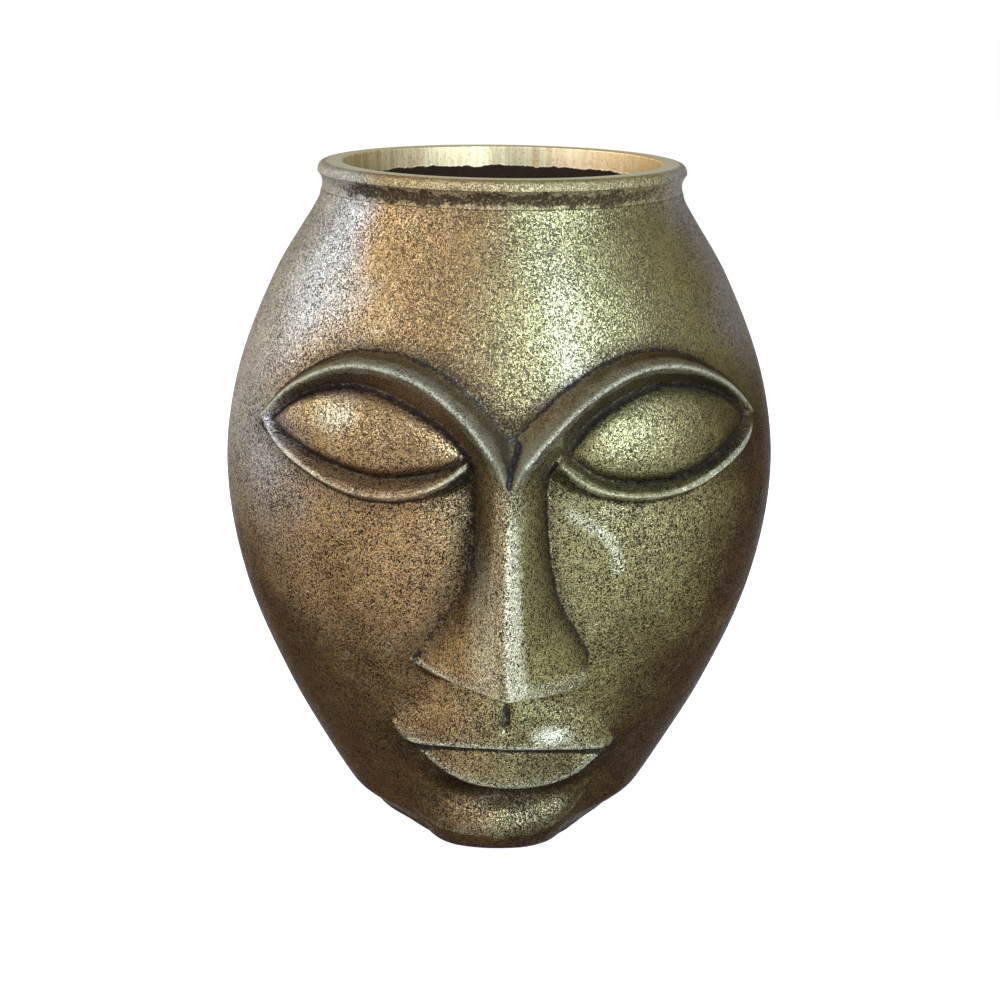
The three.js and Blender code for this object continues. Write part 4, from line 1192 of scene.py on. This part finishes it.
def cast_brass():
    """Antique brass on the castings, with painted light and shade: dark in pits, darker in creases with
    painted shade, worn bright with painted highlights on the edges, black inside.
    """
    material, tree, shader, place, facing = new_material("Antique cast brass")
    way = ways(tree, place)
    mark = {
        name: put(tree, "ShaderNodeAttribute", attribute_name=name).outputs["Fac"]
        for name in (*FACE_MARKS, "lining")
    }
    rub = wander(tree, place, 150.0, 3.0, 0.65)
    rag = plus(tree, wander(tree, place, 600.0, 2.0, 0.6), rub)
    edge = plus(tree, mark["edge"], times(tree, rub, 0.5))
    hollow = plus(tree, mark["hollow"], times(tree, rub, 1.6))
    rubbed_and_highlight = plus(tree, mark["rubbed_and_highlight"], times(tree, rub, 0.25))
    rubbed_and_highlight = highest(tree, ramp(tree, edge, 0.75, 1.1, 0.0, 0.28), rubbed_and_highlight)

    # Soiling and painted shade in the creases and hollows, and the black lining
    crease = ramp(tree, edge, -0.15, -0.7, 0.0, 0.5)
    soot_and_shade_mask = ramp(tree, plus(tree, mark["soot_and_shade"], times(tree, rag, 0.8)), 0.25, 0.85)
    grime_and_hollow_shade = ramp(tree, hollow, -1.0, -3.6, 0.0, 0.3)
    dirt_and_shade = highest(tree, crease, soot_and_shade_mask, grime_and_hollow_shade, mark["lining"])

    # Grain, closer in the dark places and worn down on edges, filed bands and worn bright and highlighted
    # places
    worn = times(tree, ramp(tree, edge, 0.5, 1.1), 0.35)
    smoothed = highest(tree, worn, times(tree, mark["filed"], 0.3), times(tree, rubbed_and_highlight, 0.2))
    density = plus(tree, minus(tree, times(tree, dirt_and_shade, 0.3), smoothed), 0.5)
    grain = set_group(tree, GRAIN_AND_PAINTED_LIGHT, {"Place": place, "Density": density})

    # Brass with painted light and shade, filed bands, painted brown shade, worn bright brass with painted
    # highlights, and grain with painted highlights on its upper sides
    tone = set_group(tree, PAINTED_LIGHT_TONE, {"Place": place, "Facing": facing})["Color"]
    # The filed bands are painted lighter on the left and darker on the right, as painted light and shade
    filed_lit_and_shaded_tone = blend_colours(tree, ramp(tree, way["X"], -0.005, 0.02), FILED_LIT_LEFT, FILED_SHADED_RIGHT)
    tone = blend_colours(tree, times(tree, mark["filed"], 0.82), tone, filed_lit_and_shaded_tone)
    # Painted shade in brown round the lower lip, over the brows, under the lids and beside the nose
    shade = plus(tree, mark["shade"], times(tree, rub, 0.25))
    tone = blend_colours(tree, ramp(tree, shade, 0.05, 0.85, 0.0, 0.97), tone, PAINTED_SHADE_BROWN)
    # Worn bright brass, and painted highlights, where the casting is marked so
    bright = blend_colours(tree, rubbed_and_highlight, tone, RUBBED_AND_HIGHLIT_BRASS)
    # Painted highlight on the grain's upper sides, stronger low down and weaker on the filed bands
    brightest = minus(tree, ramp(tree, way["Z"], 0.14, 0.2, 2.2, 1.55), times(tree, mark["filed"], 1.2))
    grained = brighten(tree, bright, ramp(tree, grain["Lit"], 0.0, 1.0, 0.84, brightest))

    # Black deposits and painted shade, dust on them, and pits
    dusty = ramp(tree, plus(tree, mark["dust"], rag), 0.45, 0.95)
    dirty = blend_colours(tree, times(tree, dirt_and_shade, 0.9), grained, blend_colours(tree, dusty, SOOT_AND_PAINTED_SHADE, DUST))
    # Pits are less dark high up, where the painted highlights lie
    pit_depth = times(tree, grain["Pits"], ramp(tree, way["Z"], 0.14, 0.2, 0.97, 0.8))

    # Rounded edges are dull, so that they draw no hard white lines
    rounded = ramp(tree, highest(tree, times(tree, hollow, 0.5), edge), 0.2, 0.9)
    dull = highest(
        tree, times(tree, grain["Pits"], 0.6), dirt_and_shade, times(tree, rounded, 0.9), times(tree, rubbed_and_highlight, 0.5),
        times(tree, mark["filed"], 0.2),
    )
    feed(tree, shader, {
        "Base Color": blend_colours(tree, pit_depth, dirty, PIT),
        "Metallic": 0.95,
        "Specular Tint": CASTING_GLINT,
        "Roughness": ramp(tree, dull, 0.0, 1.0, 0.31, 0.7),
        "Normal": bumped(tree, grain["Height"], 0.8, CAST_BUMP),
    })
    return material


def below_top(drop):
    return (TOP - drop) * MM


def outside_bore(reach):
    return (BORE + reach) * MM


def turned_brass():
    """The mouth ring: turned smooth on the land and in the bore, with cast grain and painted light and shade
    outside, painted shade in the neck, and painted warm light on the bore's right.
    """
    material, tree, shader, place, facing = new_material("Turned antique brass")
    way = ways(tree, place)
    radius, across = from_axis(tree, way)
    outside = ramp(tree, radius, outside_bore(5.2), outside_bore(6.8))
    bore = ramp(tree, radius, outside_bore(0.8), outside_bore(0.2))
    rub = wander(tree, place, 160.0, 3.0, 0.65)

    # The bore is left rough below the turned band
    ragged_height = plus(tree, way["Z"], times(tree, rub, 0.003))
    rough_bore = times(tree, bore, ramp(tree, ragged_height, below_top(7.2), below_top(7.9)))

    # Soiling and painted shade in the neck under the lip, less of it at the sides
    swung = plus(tree, times(tree, wander(tree, place, 22.0), 0.006), times(tree, rub, 0.008))
    neck_height = plus(tree, way["Z"], swung)
    under_lip = ramp(tree, neck_height, below_top(3.2), below_top(5))
    over_foot = ramp(tree, neck_height, below_top(7.4), below_top(9.4), 1.0, 0.1)
    left_end, right_end = ramp(tree, across, -0.98, -0.75), ramp(tree, across, 0.5, 0.98, 1.0, 0.2)
    neck = times(tree, outside, under_lip, over_foot, left_end, right_end)
    rag = times(tree, wander(tree, place, 1000.0, 2.0, 0.6), 2.4)
    dirt_and_shade = highest(tree, ramp(tree, plus(tree, neck, rag), -0.05, 1.15, 0.0, 0.92), rough_bore)

    cast = highest(tree, outside, rough_bore)
    grain = set_group(tree, GRAIN_AND_PAINTED_LIGHT, {"Place": place, "Density": ramp(tree, cast, 0.0, 1.0, -0.15, 0.46)})
    tone = set_group(tree, PAINTED_LIGHT_TONE, {"Place": place, "Facing": facing, **RING_PAINTED_LIGHT_TONES})["Color"]
    land = blend_colours(tree, outside, TURNED_LAND, tone)
    streaks = noise(tree, stretched(tree, place, 1, 1, 0.05), 420.0, 3.0, 0.65)
    gold = blend_colours(tree, ramp(tree, streaks, 0.35, 0.7), BORE_GOLD, BORE_STREAK)
    # Painted warm light on the right of the bore
    gold = blend_colours(tree, ramp(tree, across, 0.05, 0.7, 0.0, 0.6), gold, BORE_PAINTED_WARM_LIGHT)
    turned = blend_colours(tree, bore, land, gold)
    # Painted highlight on the upper sides of the cast grain outside
    lit = brighten(tree, turned, plus(tree, times(tree, grain["Lit"], outside, 0.7), 1.0))
    dirty = blend_colours(tree, dirt_and_shade, lit, NECK_DIRT_AND_SHADE)
    dull = highest(tree, dirt_and_shade, times(tree, outside, 0.3), times(tree, bore, 0.45))
    chatter = noise(tree, stretched(tree, place, 1, 1, 0.12), 900.0)
    height = plus(tree, times(tree, grain["Height"], cast), times(tree, chatter, 0.25))
    feed(tree, shader, {
        "Base Color": blend_colours(tree, times(tree, grain["Pits"], 0.7), dirty, RING_PIT),
        "Metallic": 0.95,
        "Specular Tint": RING_GLINT,
        "Roughness": ramp(tree, dull, 0.0, 1.0, 0.4, 0.72),
        "Normal": bumped(tree, height, 0.5, RING_BUMP),
    })
    return material


def plate_brass():
    """The base plate: cast and waxed dark, out of sight."""
    material, tree, shader, place, _ = new_material("Dark cast plate")
    grain = set_group(tree, GRAIN_AND_PAINTED_LIGHT, {"Place": place, "Density": 0.55})
    cloud = noise(tree, place, 45.0, 4.0, 0.6)
    tone = blend_colours(tree, ramp(tree, cloud, 0.35, 0.65), PLATE_DARK, PLATE_LIGHT)
    feed(tree, shader, {
        "Base Color": blend_colours(tree, times(tree, grain["Pits"], 0.8), tone, PLATE_PIT),
        "Metallic": ramp(tree, grain["Pits"], 0.0, 1.0, 0.85, 0.4),
        "Roughness": ramp(tree, grain["Pits"], 0.0, 1.0, 0.5, 0.75),
        "Normal": bumped(tree, grain["Height"], 0.5, PLATE_BUMP),
    })
    return material


def pad_felt():
    """Pressed dark felt with short crossing fibres."""
    material, tree, shader, place, _ = new_material("Pressed felt")
    one_way = noise(tree, stretched(tree, place, 1, 0.2, 1), 3500.0, 2.0, 0.6, 1.5)
    other_way = noise(tree, stretched(tree, place, 0.2, 1, 1), 3500.0, 2.0, 0.6, 1.5)
    fibres = highest(tree, one_way, other_way)
    feed(tree, shader, {
        "Base Color": blend_colours(tree, ramp(tree, fibres, 0.45, 0.7), FELT_DEEP, FELT_FIBRE),
        "Roughness": 0.95,
        "Sheen Weight": 0.4,
        "Normal": bumped(tree, fibres, 0.6, FELT_BUMP),
    })
    return material


# Pieces

cast, turned, felt = cast_brass(), turned_brass(), pad_felt()
PIECES = [
    (face_shell(cast), "face_shell", "cast_metal"),
    (back_shell(cast), "back_shell", "cast_metal"),
    (mouth_ring(turned), "mouth_ring", "turned_metal"),
    (base_plate(plate_brass()), "base_plate", "cast_metal"),
]
for corner in ("front_left", "front_right", "back_left", "back_right"):
    PIECES.append((felt_pad("foot_pad_" + corner, felt), "foot_pad_" + corner, "felt"))
for piece, node, slot in PIECES:
    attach(piece, "root")
    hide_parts(node)


# Studio

FLOOR_RADIUS = 12
FLOOR_SIDES = 96
FLOOR_GLOW = 0.82
ROOM_LIGHT = 0.35
LAMPS_LOOK_AT = Vector((0, AXIS_Y, 0.13))

# Name, bearing from the front and rise in degrees, distance and size in metres, power and colour
LAMPS = [
    ("left_window", -100, 33, 1.2, (0.4, 0.7), 13, (0.7, 0.84, 1)),
    ("left_front_window", -56, 27, 1.3, (0.28, 1.0), 27, (0.44, 0.6, 1)),
    ("left_back_window", -138, 6, 1.3, (0.5, 0.9), 5, (0.85, 0.93, 1)),
    ("right_front_lamp", 27, 26, 1.2, (0.22, 1.3), 80, (0.41, 0.545, 1)),
]

# The camera was fitted to the photograph: angles in degrees, lens in mm, place in metres
CAMERA_PITCH = 16.83
CAMERA_TURN = -3
CAMERA_ROLL = 0.75
CAMERA_PLACE = (0, -0.625, 0.3141)
CAMERA_LENS = 61.452
CAMERA_SHIFT = 0.002


def seen_or_mirrored(tree):
    """One for what the camera sees, straight or in a mirror, and zero for light that falls on the object."""
    path = put(tree, "ShaderNodeLightPath").outputs
    return highest(tree, path["Is Camera Ray"], path["Is Glossy Ray"], path["Is Transmission Ray"])


def studio_floor():
    material, tree, shader, _, _ = new_material("Pale studio floor")
    feed(tree, shader, {
        "Base Color": (0.5, 0.5, 0.5, 1),
        "Roughness": 0.9,
        "Specular IOR Level": 0.0,
        "Emission Color": (1, 1, 1, 1),
        "Emission Strength": times(tree, seen_or_mirrored(tree), FLOOR_GLOW),
    })
    turn = np.arange(FLOOR_SIDES) * 2 * pi / FLOOR_SIDES
    rim = [(FLOOR_RADIUS * cos(t), FLOOR_RADIUS * sin(t), 0) for t in turn]
    floor = make_piece("studio_floor", rim, [list(range(FLOOR_SIDES))], material)


def soft_lamp(name, bearing, rise, distance, size, power, colour):
    """A square lamp that looks at the vase."""
    data = bpy.data.lights.new(name, "AREA")
    data.shape = "RECTANGLE"
    data.size, data.size_y = size
    data.energy = power
    data.color = colour
    lamp = bpy.data.objects.new(name, data)
    b, r = radians(bearing), radians(rise)
    away = Vector((sin(b) * cos(r), -cos(b) * cos(r), sin(r)))
    lamp.location = LAMPS_LOOK_AT + away * distance
    lamp.rotation_euler = away.to_track_quat("Z", "Y").to_euler()
    bpy.context.scene.collection.objects.link(lamp)


def white_room():
    world = bpy.data.worlds.new("White room")
    bpy.context.scene.world = world
    world.use_nodes = True
    tree = world.node_tree
    tree.nodes.clear()
    strength = ramp(tree, seen_or_mirrored(tree), 0.0, 1.0, ROOM_LIGHT, 1.0)
    background = put(tree, "ShaderNodeBackground", {"Color": (1, 1, 1, 1), "Strength": strength})
    put(tree, "ShaderNodeOutputWorld", {"Surface": background.outputs[0]})


def photo_camera():
    """The photograph's view: it looks down at the face, which is turned a little."""
    pitch = radians(CAMERA_PITCH)
    forward = Vector((0, cos(pitch), -sin(pitch)))
    up = Vector((0, sin(pitch), cos(pitch)))
    right = Vector((1, 0, 0))
    looking = Matrix((right, up, -forward)).transposed().to_4x4()
    turn = Matrix.Translation((0, AXIS_Y, 0)) @ Matrix.Rotation(radians(CAMERA_TURN), 4, "Z")
    place = Matrix.Translation(CAMERA_PLACE)
    data = bpy.data.cameras.new("photo_camera")
    data.lens = CAMERA_LENS
    data.sensor_width = 36
    data.shift_x = CAMERA_SHIFT
    data.clip_start = 0.01
    camera = bpy.data.objects.new("photo_camera", data)
    camera.matrix_world = turn @ place @ looking @ Matrix.Rotation(radians(CAMERA_ROLL), 4, "Z")
    bpy.context.scene.collection.objects.link(camera)
    bpy.context.scene.camera = camera


studio_floor()
white_room()
for lamp in LAMPS:
    soft_lamp(*lamp)
photo_camera()
bpy.context.scene.view_settings.view_transform = "Standard"
